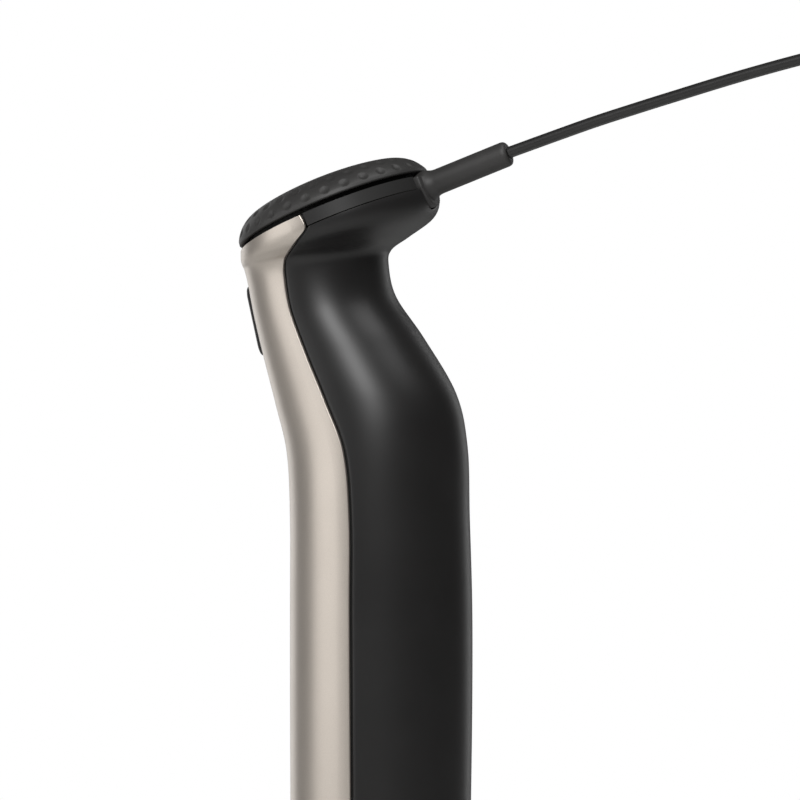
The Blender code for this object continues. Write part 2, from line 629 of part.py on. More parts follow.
def make_leg(leg, hard_black, steel, rubber, brass):
    collar = ((12.5, 173.2), (17.6, 173.2), (17.6, 166.0), (19.3, 166.0), (19.9, 166.8), (20.8, 170.0),
              (23.0, 177.0), (25.4, 186.0), (26.4, 194.0), (26.6, 200.0), (17.0, 200.0), (17.0, 203.6),
              (15.6, 204.0), (15.6, 207.4), (17.0, 207.8), (17.0, 211.2), (16.2, 212.0), (12.5, 212.0))
    add_object("leg_collar", lathe(collar, 32), leg, hard_black)
    steel_tube = ((12.6, BELL_TOP + 0.4), (13.6, 78.0), (15.2, 110.0), (16.6, 148.0), (17.1, TUBE_TOP),
                  (16.0, TUBE_TOP), (15.5, 148.0), (14.1, 110.0), (12.5, 78.0), (11.5, BELL_TOP + 0.4))
    add_object("shaft_tube", lathe(steel_tube, 28), leg, steel)
    bell = ((12.6, BELL_TOP), (13.4, 53.0), (16.6, 46.0), (22.0, 38.6), (27.6, 30.0), (31.0, 20.0),
            (BELL_RADIUS, 9.0), (BELL_RADIUS, 5.2), (30.4, 5.2), (30.4, 9.0), (29.2, 19.4), (25.9, 28.8),
            (20.6, 36.8), (15.0, 44.0), (10.2, 47.4), (10.2, BELL_TOP))
    dome = add_object("bell", lathe(bell, 32), leg, steel)
    for i in range(4):
        spin = Matrix.Rotation(math.radians(90 * i), 4, "Z")
        lie = Matrix(((0, 0, 1, 0), (1, 0, 0, 0), (0, 1, 0, 0), (0, 0, 0, 1)))
        arch = rounded_box(7.0, 7.0, 4.0, 3)
        cut(dome, plate(arch, (), 22.0, 40.0, spin @ Matrix.Translation((0.0, 0.0, 17.0)) @ lie))
    guard = ((30.0, 0.0), (32.5, 0.0), (RIM_RADIUS, 0.8), (RIM_RADIUS, 6.4), (BELL_RADIUS + 0.4, 7.0),
             (BELL_RADIUS + 0.4, 4.8), (29.4, 4.8), (29.4, 0.6))
    add_object("rim_guard", lathe(guard, 36), leg, rubber)
    add_object("lower_bushing", tube(DRIVE_RADIUS + GAP, 9.8, 50.4, 57.6, 16), leg, brass)
    add_object("upper_bushing", tube(DRIVE_RADIUS + GAP, 12.1, 175.0, 183.0, 20), leg, brass)
    add_object("shaft_seal", tube(DRIVE_RADIUS + GAP, 9.8, 47.6, 50.0, 16), leg, rubber)


def blade_loops():
    """Sections of an S-shaped blade from one tip to the other: one arm rises and the other drops."""
    loops = []
    steps = 14
    for i in range(steps + 1):
        share = 2 * i / steps - 1
        reach = BLADE_REACH * share
        beyond = max(0.0, abs(share) - 0.3) / 0.7
        rise = math.copysign(5.2 * beyond ** 2, share)
        sweep = math.copysign(5.0 * beyond ** 2, share)
        half = 5.6 - 3.0 * beyond
        thick = 0.8 - 0.3 * beyond
        middle = Vector((reach, sweep, 13.8 + rise))
        edge = math.copysign(1.0, share)
        loops.append([middle + Vector((0.0, -half, -thick * (0.35 if edge > 0 else 1.0))),
                      middle + Vector((0.0, half, -thick * (1.0 if edge > 0 else 0.35))),
                      middle + Vector((0.0, half, thick * (1.0 if edge > 0 else 0.35))),
                      middle + Vector((0.0, -half, thick * (0.35 if edge > 0 else 1.0)))])
    return loops


def make_blade(drive, steel, plastic):
    add_object("drive_shaft", rod(DRIVE_RADIUS, 12.4, 211.0, 20), drive, steel)
    blade = add_object("blade", loft(blade_loops()), drive, steel, smooth=False)
    cut(blade, rod(DRIVE_RADIUS + GAP, 5.0, 25.0, 20))
    add_object("blade_nut", lathe(((0.0, 8.0), (2.6, 8.0), (4.6, 9.2), (5.2, 12.0), (0.0, 12.0)), 6), drive, steel)
    hub = ((DRIVE_RADIUS + GAP, 15.2), (5.4, 15.2), (5.4, 20.0), (4.2, 22.0), (DRIVE_RADIUS + GAP, 22.0))
    add_object("blade_hub", lathe(hub, 20), drive, steel)
    cap = ((0.0, 211.4), (0.0, 213.2), (4.2, 213.2), (5.0, 212.0), (5.0, 203.0), (8.6, 202.0), (8.6, 200.0),
           (DRIVE_RADIUS + GAP, 200.0), (DRIVE_RADIUS + GAP, 211.4))
    add_object("driven_coupling", lathe(cap, 6), drive, plastic, smooth=False)


# ---------------------------------------------------------------- cord

def smooth_route(points, step):
    """Points at about an equal step along a Catmull-Rom curve through the route's own points."""
    dense = [Vector(row) for row in smooth_rows([tuple(p) for p in points], [24] * (len(points) - 1))]
    route = [dense[0]]
    walked = 0.0
    for before, after in zip(dense, dense[1:]):
        walked += (after - before).length
        if walked >= step:
            route.append(after)
            walked = 0.0
    if (dense[-1] - route[-1]).length > 0.3 * step:
        route.append(dense[-1])
    return route


def cord_route():
    """The free run, then a quarter turn down onto the coil, on the coil's own radius."""
    points = [(x, 0.0, z) for x, z in CORD_POINTS]
    bend = 30.0
    top = COIL_HEIGHTS[1] + CORD_TUBE_RADIUS + 0.7
    for i in range(1, 7):
        turn = math.pi / 2 * i / 6
        angle = bend * (1 - math.cos(turn)) / COIL_RADIUS
        points.append((COIL_CENTRE[0] + COIL_RADIUS * math.cos(angle), COIL_RADIUS * math.sin(angle),
                       top + bend * (1 - math.sin(turn))))
    return smooth_route(points, 10.5)


def make_cord(root, black_cord, plug_black, brass):
    curve = bpy.data.curves.new("cord_lead", "CURVE")
    curve.dimensions = "3D"
    curve.bevel_depth = CORD_TUBE_RADIUS * MM
    curve.bevel_resolution = 2
    curve.use_fill_caps = True
    route = cord_route()
    spline = curve.splines.new("POLY")
    spline.points.add(len(route) - 1)
    for point, place in zip(spline.points, route):
        point.co = (*(place * MM), 1.0)
    curve.materials.append(black_cord)
    lead = bpy.data.objects.new("cord_lead", curve)
    bpy.context.collection.objects.link(lead)
    lead.parent = root
    low, high = COIL_HEIGHTS
    ring = ((COIL_RADIUS - COIL_HALF, low + 1.5), (COIL_RADIUS - COIL_HALF + 1.5, low),
            (COIL_RADIUS + COIL_HALF - 1.5, low), (COIL_RADIUS + COIL_HALF, low + 1.5),
            (COIL_RADIUS + COIL_HALF, high - 1.5), (COIL_RADIUS + COIL_HALF - 1.5, high),
            (COIL_RADIUS - COIL_HALF + 1.5, high), (COIL_RADIUS - COIL_HALF, high - 1.5))
    add_object("cord_coil", lathe(ring, 28, COIL_CENTRE), root, black_cord)
    make_tie(root, plug_black)
    make_plug(root, plug_black, brass)


def make_tie(root, finish):
    """A strap round the coil's bundle, at the side away from the plug."""
    low, high = COIL_HEIGHTS
    middle = (low + high) / 2
    inner = rounded_box(COIL_HALF + 0.7, (high - low) / 2 + 0.3, 1.5, 2)
    outer = rounded_box(COIL_HALF + 1.3, (high - low) / 2 + 0.9, 2.1, 2)
    spin = Matrix.Translation((*COIL_CENTRE, middle)) @ Matrix.Rotation(math.radians(-75), 4, "Z")
    lie = Matrix(((1, 0, 0, COIL_RADIUS), (0, 0, -1, 0), (0, 1, 0, 0), (0, 0, 0, 1)))
    add_object("coil_tie", plate(outer, (inner,), -3.5, 3.5, spin @ lie), root, finish)


def plug_frame():
    """Local z runs from the plug's cord end to its blades, along the coil's far side, lying on the coil."""
    spin = Matrix.Translation((*COIL_CENTRE, 0.0)) @ Matrix.Rotation(math.radians(180), 4, "Z")
    lie = Matrix(((1, 0, 0, COIL_RADIUS - 2.0), (0, 0, 1, -22.0), (0, -1, 0, COIL_HEIGHTS[1] + 8.4), (0, 0, 0, 1)))
    return spin @ lie


def make_plug(root, plug_black, brass):
    frame = plug_frame()
    levels = ((0.0, 4.2, 3.4, 2.6), (9.0, 4.8, 4.0, 2.8), (12.0, 9.6, 7.0, 3.6), (14.5, 11.6, 8.0, 4.0),
              (25.0, 11.8, 8.0, 4.0), (29.0, 10.8, 7.4, 3.6))
    loops = [[frame @ Vector((u, v, rise)) for u, v in rounded_box(wide, high, corner, 4)]
             for rise, wide, high, corner in levels]
    add_object("plug_body", loft(loops), root, plug_black)
    for name, side in (("left", -1), ("right", 1)):
        middle = side * 6.35
        blade = box((middle - 0.75, -3.2, 29.3), (middle + 0.75, 3.2, 46.5), frame)
        add_object(f"plug_blade_{name}", blade, root, brass, smooth=False)


# ---------------------------------------------------------------- whole object

def build():
    clear_scene()
    silver = material("champagne_metal", (0.36, 0.32, 0.28), 0.34, 0.7)
    soft_black = material("soft_touch_black", (0.018, 0.017, 0.017), 0.5)
    hard_black = material("hard_black", (0.02, 0.02, 0.02), 0.4)
    rubber = material("black_rubber", (0.025, 0.024, 0.024), 0.6)
    steel = material("brushed_steel", (0.6, 0.6, 0.6), 0.3, 1.0)
    copper = material("copper", (0.7, 0.3, 0.16), 0.35, 1.0)
    brass = material("brass", (0.72, 0.55, 0.25), 0.35, 1.0)
    carbon = material("carbon", (0.03, 0.03, 0.03), 0.7)
    plastic = material("grey_plastic", (0.2, 0.2, 0.21), 0.5)
    board_green = material("board_green", (0.02, 0.16, 0.06), 0.5)
    dark = material("dark_component", (0.03, 0.03, 0.05), 0.4)
    black_cord = material("black_cord", (0.015, 0.015, 0.015), 0.45)

    root = body_empty("housing", (0.0, 0.0, 0.0))
    rotor = body_empty("rotor", (0.0, 0.0, 240.0))
    dial = body_empty("dial", (DIAL_CENTRE[0], 0.0, DIAL_CENTRE[1]))
    trigger = body_empty("trigger_axis", neck_frame() @ Vector((8.5, 0.0, 8.0)))
    plunger = body_empty("plunger_axis", neck_frame() @ Vector((-6.0, 0.0, 8.4)))
    leg = body_empty("leg", (0.0, 0.0, COLLAR_BOTTOM))
    drive = body_empty("blade_axis", (0.0, 0.0, 100.0))

    make_housings(root, silver, soft_black)
    make_top_collar(root, hard_black)
    make_strain_relief(root, rubber)
    make_lower_collar(root, hard_black)
    make_motor(root, steel, copper, plastic, brass, carbon)
    make_rotor(rotor, steel, copper, plastic)
    make_neck(root, plastic, board_green, steel, dark)
    make_trigger(trigger, hard_black)
    make_trigger_spring(root, steel)
    plunger_rod = rod(1.2, 6.0, 12.0, 16, frame=neck_frame() @ Matrix.Translation((-6.0, 0.0, 0.0)))
    add_object("switch_plunger", plunger_rod, plunger, plastic)
    make_dial(dial, rubber, steel)
    make_head(root, hard_black, dark)
    for name, side in (("left", -1), ("right", 1)):
        pivot = body_empty(f"release_{name}", (0.0, side * RELEASE_PIVOT[0], RELEASE_PIVOT[1]))
        make_release(root, pivot, name, side, hard_black, steel)
    make_leg(leg, hard_black, steel, rubber, brass)
    make_blade(drive, steel, plastic)
    make_cord(root, black_cord, rubber, brass)


build()
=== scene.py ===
"""Looks of the immersion blender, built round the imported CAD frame.

Lengths are in millimetres until mesh_object, which turns them into metres.
"""

import json
import math

import bmesh
import bpy
from mathutils import Matrix, Vector

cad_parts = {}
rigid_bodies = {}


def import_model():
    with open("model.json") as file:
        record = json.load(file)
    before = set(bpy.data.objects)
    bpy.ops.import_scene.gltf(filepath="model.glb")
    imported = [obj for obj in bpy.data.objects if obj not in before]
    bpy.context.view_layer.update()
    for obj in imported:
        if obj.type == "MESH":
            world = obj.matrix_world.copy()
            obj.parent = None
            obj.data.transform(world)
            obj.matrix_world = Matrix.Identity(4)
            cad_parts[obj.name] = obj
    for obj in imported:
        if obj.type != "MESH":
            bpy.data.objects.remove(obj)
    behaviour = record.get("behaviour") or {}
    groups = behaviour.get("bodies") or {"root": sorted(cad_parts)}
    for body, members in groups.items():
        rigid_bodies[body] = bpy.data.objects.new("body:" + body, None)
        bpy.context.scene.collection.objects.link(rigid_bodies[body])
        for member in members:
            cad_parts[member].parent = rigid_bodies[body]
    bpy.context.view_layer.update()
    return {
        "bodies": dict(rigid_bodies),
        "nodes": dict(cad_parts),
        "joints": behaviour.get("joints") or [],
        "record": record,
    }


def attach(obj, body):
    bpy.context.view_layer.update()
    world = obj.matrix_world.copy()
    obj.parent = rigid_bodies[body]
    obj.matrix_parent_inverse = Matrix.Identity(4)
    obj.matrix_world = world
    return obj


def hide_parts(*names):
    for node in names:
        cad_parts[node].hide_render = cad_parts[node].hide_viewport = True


MM = 0.001

# ---------------------------------------------------------------- sizes, as the CAD model has them

BODY_SECTIONS = (
    (-27.3, 230.5, 27.1, 230.5, 26.6),
    (-27.4, 260.0, 27.5, 260.0, 26.8),
    (-27.4, 290.0, 27.5, 290.0, 26.8),
    (-27.4, 316.0, 26.7, 317.0, 26.6),
    (-28.5, 335.9, 26.1, 338.1, 26.0),
    (-32.2, 350.4, 22.6, 354.1, 25.0),
    (-36.0, 364.3, 12.4, 370.7, 23.6),
    (-39.0, 376.3, 3.4, 383.2, 22.4),
    (-41.2, 386.8, 1.0, 392.7, 22.2),
    (-42.2, 390.8, 1.8, 397.4, 23.2),
    (-42.6, 391.9, 7.6, 401.7, 26.0),
    (-42.8, 392.8, 15.1, 407.4, 29.2),
    (-42.9, 393.8, 16.8, 413.1, 30.4),
    (-42.8, 395.7, 14.4, 419.1, 30.4),
)
ROWS_PER_SPAN = (3, 6, 8, 8, 10, 10, 10, 8, 6, 6, 6, 6, 6)
SEAM_DEGREES = (91.2, 90.6, 90.2, 90.8, 88.2, 82.5, 81.2, 82.3, 83.6, 85.4, 85.5, 86.0, 91.3, 90.5)
WALL = 2.4
SEAM_HALF = 1.0
LAP_SKIN = 1.0

HEAD_TILT = math.radians(22.6)
DIAL_CENTRE = (-14.9, 408.9)
DIAL_RADIUS = 30.4
DIAL_GAP = 1.5
COLLAR_HEIGHT = 3.95
SLEEVE_EXIT = (40.6, 425.9)
SLEEVE_RISE = math.radians(20.7)
SLEEVE_RADIUS = 3.85
SLEEVE_LENGTH = 30.2
NOTCH_FLOOR = 26.2  # from the dial's axis
NOTCH_GAP = 0.4
TOUCH_GAP = 0.3

NECK_TILT = math.radians(13.0)
NECK_POINT = (-38.6, 375.5)

COLLAR_BOTTOM = 200.4
COLLAR_TOP = 230.1
BELL_TOP = 58.0
TUBE_TOP = 172.6
BELL_RADIUS = 32.2
RIM_RADIUS = 33.2
BLADE_REACH = 19.0
DRIVE_RADIUS = 2.5
RELEASE_PIVOT = (21.3, 211.0)
RELEASE_PAD_HEIGHT = 219.7
RELEASE_WINDOW_HEIGHT = 220.1
PIN_BORE_RADIUS = 1.3
VENT_HEIGHT = 216.0
WINDOW_HEIGHT = 17.0  # of the bell's four windows

CORD_POINTS = (
    (41.0, 426.1), (55.0, 430.8), (67.5, 434.9), (79.9, 438.6), (91.3, 441.9), (113.0, 448.0),
    (134.0, 453.2), (146.0, 455.2), (158.0, 454.5), (169.0, 450.2), (178.0, 441.5), (184.0, 429.5),
    (187.0, 415.0), (188.0, 396.0), (188.0, 350.0), (188.0, 290.0), (188.0, 230.0), (188.0, 170.0),
    (188.0, 120.0), (188.0, 85.0), (188.0, 60.0),
)
CORD_WIDTH = 5.6
CORD_THICKNESS = 3.2
COIL_CENTRE = (156.0, 0.0)
COIL_RADIUS = 32.0
LEAD_TOP = 15.5  # the cord's line where it lands on the coil
LANDING_BEND = 30.0
PLUG_CENTRE = (COIL_CENTRE[0] - COIL_RADIUS + 2.0, 21.0)
PLUG_REAR = 22.0  # the plug's rear face, along Y

DIMPLE_ROWS = ((29.7, 2.6, 0.0), (26.9, 5.6, 0.5))  # radius, height and shift by part of a pitch
DIMPLE_COUNT = 30
DIMPLE_RADIUS = 1.65
DIMPLE_DEPTH = 0.5

# Turns a plate so that its outline lies in Y and Z and its thickness runs out along X.
FACING_X = Matrix(((0, 0, 1, 0), (1, 0, 0, 0), (0, 1, 0, 0), (0, 0, 0, 1)))

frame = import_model()


# ---------------------------------------------------------------- camera, light and stage

def make_camera():
    """A touch above the grip, 20 degrees towards the back of the object, with a long lens."""
    azimuth = math.radians(20.0)
    rise = math.radians(1.2)
    target = Vector((5.36, 1.95, 352.1)) * MM
    distance = 1.7
    seen = 0.240
    data = bpy.data.cameras.new("camera")
    data.sensor_width = 36.0
    data.lens = data.sensor_width * distance / seen
    data.clip_start = 0.01
    camera = bpy.data.objects.new("camera", data)
    bpy.context.collection.objects.link(camera)
    level = Vector((math.sin(azimuth), -math.cos(azimuth), 0.0))
    camera.location = target + distance * (level * math.cos(rise) + Vector((0.0, 0.0, math.sin(rise))))
    camera.rotation_euler = (target - camera.location).to_track_quat("-Z", "Y").to_euler()
    bpy.context.scene.camera = camera


def area_light(name, place, target, size, power):
    data = bpy.data.lights.new(name, "AREA")
    data.shape = "RECTANGLE"
    data.size = size[0]
    data.size_y = size[1]
    data.energy = power
    light = bpy.data.objects.new(name, data)
    bpy.context.collection.objects.link(light)
    light.location = place
    light.rotation_euler = (Vector(target) - Vector(place)).to_track_quat("-Z", "Y").to_euler()
    light.visible_camera = False


def make_world():
    """A white background for the eye, and a dimmer, softly graded room for the light."""
    world = bpy.data.worlds.new("studio")
    bpy.context.scene.world = world
    world.use_nodes = True
    nodes = world.node_tree.nodes
    links = world.node_tree.links
    nodes.clear()
    output = nodes.new("ShaderNodeOutputWorld")
    mix = nodes.new("ShaderNodeMixShader")
    path = nodes.new("ShaderNodeLightPath")
    seen = nodes.new("ShaderNodeBackground")
    seen.inputs["Color"].default_value = (1.0, 1.0, 1.0, 1.0)
    seen.inputs["Strength"].default_value = 1.0
    room = nodes.new("ShaderNodeBackground")
    room.inputs["Color"].default_value = (1.0, 1.0, 1.0, 1.0)
    room.inputs["Strength"].default_value = 0.07
    links.new(path.outputs["Is Camera Ray"], mix.inputs[0])
    links.new(room.outputs[0], mix.inputs[1])
    links.new(seen.outputs[0], mix.inputs[2])
    links.new(mix.outputs[0], output.inputs["Surface"])


def make_lights():
    """A tall softbox at the left, a small one above the camera, two rim strips behind, and a top fill."""
    aim = (0.0, 0.0, 0.34)
    level = (0.0, 0.0, 0.5)
    area_light("left_softbox", (-1.0, -0.84, 0.62), level, (1.1, 1.14), 6.4)
    area_light("left_strip", (-0.92, 0.77, 0.5), level, (0.6, 0.9), 2.15)
    area_light("front_softbox", (0.26, -1.08, 1.06), aim, (0.36, 0.4), 11.5)
    area_light("top_softbox", (0.6, -0.1, 1.5), aim, (0.7, 0.7), 7.0)
    area_light("right_strip", (0.31, 1.16, 0.5), level, (0.2, 0.9), 0.9)


def make_floor():
    """A pale disc, just clear of the foot."""
    bm = bmesh.new()
    bmesh.ops.create_circle(bm, cap_ends=True, segments=96, radius=2.2)
    mesh = bpy.data.meshes.new("floor")
    bm.to_mesh(mesh)
    bm.free()
    floor = bpy.data.objects.new("floor", mesh)
    bpy.context.collection.objects.link(floor)
    floor.location = (0.0, 0.0, -0.0002)
    finish = bpy.data.materials.new("pale_floor")
    finish.use_nodes = True
    shader = finish.node_tree.nodes["Principled BSDF"]
    shader.inputs["Base Color"].default_value = (0.8, 0.8, 0.79, 1.0)
    shader.inputs["Roughness"].default_value = 0.6
    mesh.materials.append(finish)


# ---------------------------------------------------------------- materials

class Finish:
    """A Principled material whose colour, roughness and bump come from procedural nodes."""

    def __init__(self, name, metallic=0.0, specular=0.5):
        self.material = bpy.data.materials.new(name)
        self.material.use_nodes = True
        self.nodes = self.material.node_tree.nodes
        self.links = self.material.node_tree.links
        self.shader = self.nodes["Principled BSDF"]
        self.shader.inputs["Metallic"].default_value = metallic
        self.shader.inputs["Specular IOR Level"].default_value = specular
        self.place = self.nodes.new("ShaderNodeTexCoord").outputs["Object"]
        self.bump_before = None

    def stretched(self, scale):
        mapping = self.nodes.new("ShaderNodeMapping")
        mapping.inputs["Scale"].default_value = scale
        self.links.new(self.place, mapping.inputs["Vector"])
        return mapping.outputs["Vector"]

    def noise(self, scale, detail=2.0, stretch=None, rough=0.5):
        node = self.nodes.new("ShaderNodeTexNoise")
        node.inputs["Scale"].default_value = scale
        node.inputs["Detail"].default_value = detail
        node.inputs["Roughness"].default_value = rough
        self.links.new(self.place if stretch is None else self.stretched(stretch), node.inputs["Vector"])
        return node.outputs["Fac"]

    def wave(self, scale, direction="Z", distortion=0.0):
        node = self.nodes.new("ShaderNodeTexWave")
        node.wave_type = "BANDS"
        node.bands_direction = direction
        node.inputs["Scale"].default_value = scale
        node.inputs["Distortion"].default_value = distortion
        self.links.new(self.place, node.inputs["Vector"])
        return node.outputs["Fac"]

    def between(self, factor, low, high):
        """Maps 0..1 to low..high."""
        node = self.nodes.new("ShaderNodeMapRange")
        node.inputs["To Min"].default_value = low
        node.inputs["To Max"].default_value = high
        self.links.new(factor, node.inputs["Value"])
        return node.outputs["Result"]

    def colour(self, factor, low, high):
        ramp = self.nodes.new("ShaderNodeValToRGB")
        ramp.color_ramp.elements[0].color = (*low, 1.0)
        ramp.color_ramp.elements[1].color = (*high, 1.0)
        ramp.color_ramp.elements[0].position = 0.3
        ramp.color_ramp.elements[1].position = 0.7
        self.links.new(factor, ramp.inputs["Fac"])
        self.links.new(ramp.outputs["Color"], self.shader.inputs["Base Color"])
        return self

    def roughness(self, factor, low, high):
        self.links.new(self.between(factor, low, high), self.shader.inputs["Roughness"])
        return self

    def bump(self, factor, distance_mm, strength=1.0):
        node = self.nodes.new("ShaderNodeBump")
        node.inputs["Strength"].default_value = strength
        node.inputs["Distance"].default_value = distance_mm * MM
        self.links.new(factor, node.inputs["Height"])
        if self.bump_before is not None:
            self.links.new(self.bump_before, node.inputs["Normal"])
        self.bump_before = node.outputs["Normal"]
        self.links.new(self.bump_before, self.shader.inputs["Normal"])
        return self


def champagne_metal():
    """Satin metallic paint: a fine flake and a faint cloud in its gloss."""
    look = Finish("champagne_metal", metallic=0.72)
    flake = look.noise(5200.0, 1.0)
    cloud = look.noise(45.0, 3.0)
    look.colour(flake, (0.49, 0.441, 0.392), (0.55, 0.496, 0.442))
    look.roughness(cloud, 0.33, 0.39)
    look.bump(flake, 0.004, 0.5)
    return look.material


def soft_touch_black():
    """Matt coating with a slight sheen."""
    look = Finish("soft_touch_black", specular=0.42)
    grain = look.noise(3600.0, 2.0)
    cloud = look.noise(38.0, 3.0)
    look.colour(cloud, (0.0085, 0.0080, 0.0080), (0.0110, 0.0104, 0.0104))
    look.roughness(cloud, 0.37, 0.42)
    look.bump(grain, 0.012, 0.6)
    look.shader.inputs["Sheen Weight"].default_value = 0.03
    look.shader.inputs["Sheen Roughness"].default_value = 0.4
    return look.material


def hard_black():
    """Finely textured moulded plastic."""
    look = Finish("hard_black", specular=0.32)
    grain = look.noise(2400.0, 2.0)
    cloud = look.noise(60.0, 2.0)
    look.colour(cloud, (0.0105, 0.0102, 0.0101), (0.0145, 0.0141, 0.0138))
    look.roughness(cloud, 0.47, 0.55)
    look.bump(grain, 0.01, 0.5)
    return look.material


def dial_rubber():
    look = Finish("dial_rubber", specular=0.5)
    grain = look.noise(2600.0, 3.0)
    cloud = look.noise(70.0, 3.0)
    look.colour(cloud, (0.022, 0.0212, 0.0205), (0.028, 0.027, 0.026))
    look.roughness(cloud, 0.5, 0.58)
    look.bump(grain, 0.02, 0.7)
    return look.material


def black_rubber(name="black_rubber", shade=0.016):
    """Moulded rubber of a given darkness, for the guard and the plug, and a little lighter for the sleeve."""
    look = Finish(name, specular=0.45)
    grain = look.noise(2100.0, 3.0)
    cloud = look.noise(80.0, 3.0)
    look.colour(cloud, (shade, shade * 0.97, shade * 0.95), (shade * 1.35, shade * 1.3, shade * 1.27))
    look.roughness(cloud, 0.48, 0.58)
    look.bump(grain, 0.02, 0.6)
    return look.material


def cord_pvc():
    look = Finish("cord_pvc", specular=0.5)
    grain = look.noise(1500.0, 2.0)
    cloud = look.noise(90.0, 2.0)
    look.colour(cloud, (0.012, 0.0118, 0.0116), (0.016, 0.0157, 0.0153))
    look.roughness(cloud, 0.36, 0.44)
    look.bump(grain, 0.012, 0.5)
    return look.material


def brushed_steel(name="brushed_steel", turned=True):
    """Stainless steel with fine lines: rings round Z where it is turned, otherwise straight ones across X."""
    look = Finish(name, metallic=1.0)
    lines = look.noise(60.0, 4.0, stretch=(1.0, 1.0, 120.0) if turned else (60.0, 2.0, 2.0))
    cloud = look.noise(30.0, 3.0)
    look.colour(cloud, (0.53, 0.525, 0.515), (0.60, 0.595, 0.585))
    look.roughness(lines, 0.24, 0.36)
    look.bump(lines, 0.006, 0.5)
    return look.material


def core_steel():
    """Stamped laminations stacked along the motor's axis."""
    look = Finish("core_steel", metallic=0.9)
    sheets = look.wave(628.0, "Z")
    cloud = look.noise(120.0, 3.0)
    look.colour(cloud, (0.16, 0.16, 0.165), (0.24, 0.24, 0.245))
    look.roughness(cloud, 0.38, 0.5)
    look.bump(sheets, 0.06, 0.6)
    return look.material


def enamelled_copper():
    look = Finish("enamelled_copper", metallic=0.9)
    wires = look.wave(700.0, "DIAGONAL", 1.5)
    cloud = look.noise(90.0, 2.0)
    look.colour(cloud, (0.50, 0.17, 0.065), (0.62, 0.24, 0.10))
    look.roughness(cloud, 0.28, 0.38)
    look.bump(wires, 0.12, 0.7)
    return look.material


def satin_brass():
    look = Finish("satin_brass", metallic=1.0)
    lines = look.noise(300.0, 3.0)
    look.colour(lines, (0.60, 0.44, 0.19), (0.70, 0.53, 0.25))
    look.roughness(lines, 0.26, 0.36)
    look.bump(lines, 0.004, 0.4)
    return look.material


def carbon():
    look = Finish("carbon", specular=0.3)
    grain = look.noise(1800.0, 3.0)
    look.colour(grain, (0.014, 0.014, 0.015), (0.03, 0.03, 0.032))
    look.roughness(grain, 0.55, 0.72)
    look.bump(grain, 0.02, 0.6)
    return look.material


def grey_plastic():
    look = Finish("grey_plastic", specular=0.45)
    grain = look.noise(1600.0, 2.0)
    cloud = look.noise(50.0, 2.0)
    look.colour(cloud, (0.14, 0.14, 0.145), (0.19, 0.19, 0.195))
    look.roughness(cloud, 0.42, 0.52)
    look.bump(grain, 0.012, 0.5)
    return look.material


def solder_mask():
    """A green circuit board, with the faint relief of its tracks."""
    look = Finish("solder_mask", specular=0.6)
    tracks = look.wave(300.0, "X", 4.0)
    look.colour(tracks, (0.008, 0.085, 0.03), (0.014, 0.13, 0.045))
    look.roughness(tracks, 0.25, 0.34)
    look.bump(tracks, 0.03, 0.5)
    return look.material


def dark_component():
    look = Finish("dark_component", specular=0.55)
    cloud = look.noise(200.0, 2.0)
    look.colour(cloud, (0.012, 0.012, 0.018), (0.022, 0.022, 0.03))
    look.roughness(cloud, 0.28, 0.36)
    look.bump(cloud, 0.01, 0.4)
    return look.material


# ---------------------------------------------------------------- mesh helpers

SMOOTH_ANGLE = 35.0
ON_AXIS = 1e-6


def mesh_object(name, bm, finish, body, replaced=(), smooth=SMOOTH_ANGLE):
    """Takes a bmesh in world millimetres, and rides it on its body. A helper has no body."""
    bm.normal_update()
    bmesh.ops.recalc_face_normals(bm, faces=bm.faces)
    bm.transform(Matrix.Scale(MM, 4))
    mesh = bpy.data.meshes.new(name)
    bm.to_mesh(mesh)
    bm.free()
    mesh.materials.append(finish)
    made = bpy.data.objects.new(name, mesh)
    bpy.context.collection.objects.link(made)
    mesh.shade_smooth()
    mesh.set_sharp_from_angle(angle=math.radians(smooth))
    if body is not None:
        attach(made, body)
        if replaced:
            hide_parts(*replaced)
    return made


def add_bevel(made, width, angle=40.0, segments=3):
    modifier = made.modifiers.new("edges", "BEVEL")
    modifier.width = width * MM
    modifier.segments = segments
    modifier.limit_method = "ANGLE"
    modifier.angle_limit = math.radians(angle)
    modifier.use_clamp_overlap = True
    modifier.harden_normals = False


def boolean(target, bm, operation):
    """Applies a Boolean with a helper that is removed again."""
    helper = mesh_object(f"{target.name}_helper", bm, target.data.materials[0], None)
    modifier = target.modifiers.new("cut", "BOOLEAN")
    modifier.operation = operation
    modifier.object = helper
    modifier.solver = "EXACT"
    apply_modifiers(target)
    bpy.data.objects.remove(helper, do_unlink=True)


def apply_modifiers(target):
    """Puts the evaluated mesh in the object, under the same mesh name."""
    graph = bpy.context.evaluated_depsgraph_get()
    graph.update()
    finished = bpy.data.meshes.new_from_object(target.evaluated_get(graph))
    old = target.data
    target.modifiers.clear()
    target.data = finished
    name = old.name
    bpy.data.meshes.remove(old)
    finished.name = name
    finished.shade_smooth()
    finished.set_sharp_from_angle(angle=math.radians(SMOOTH_ANGLE))


def cut(target, bm):
    boolean(target, bm, "DIFFERENCE")


def join(target, bm):
    boolean(target, bm, "UNION")


def loft(loops):
    """A solid through a row of loops with as many points each, closed at both ends."""
    bm = bmesh.new()
    rings = [[bm.verts.new(point) for point in loop] for loop in loops]
    count = len(rings[0])
    for lower, upper in zip(rings, rings[1:]):
        for j in range(count):
            k = (j + 1) % count
            bm.faces.new((lower[j], lower[k], upper[k], upper[j]))
    bm.faces.new(rings[0][::-1])
    bm.faces.new(rings[-1])
    return bm


def turned_ring(bm, radius, height, segments):
    """One ring of a turned shape. On the axis it is a single vertex, repeated."""
    if radius < ON_AXIS:
        return [bm.verts.new((0.0, 0.0, height))] * segments
    turns = [2 * math.pi * i / segments for i in range(segments)]
    return [bm.verts.new((radius * math.cos(turn), radius * math.sin(turn), height)) for turn in turns]


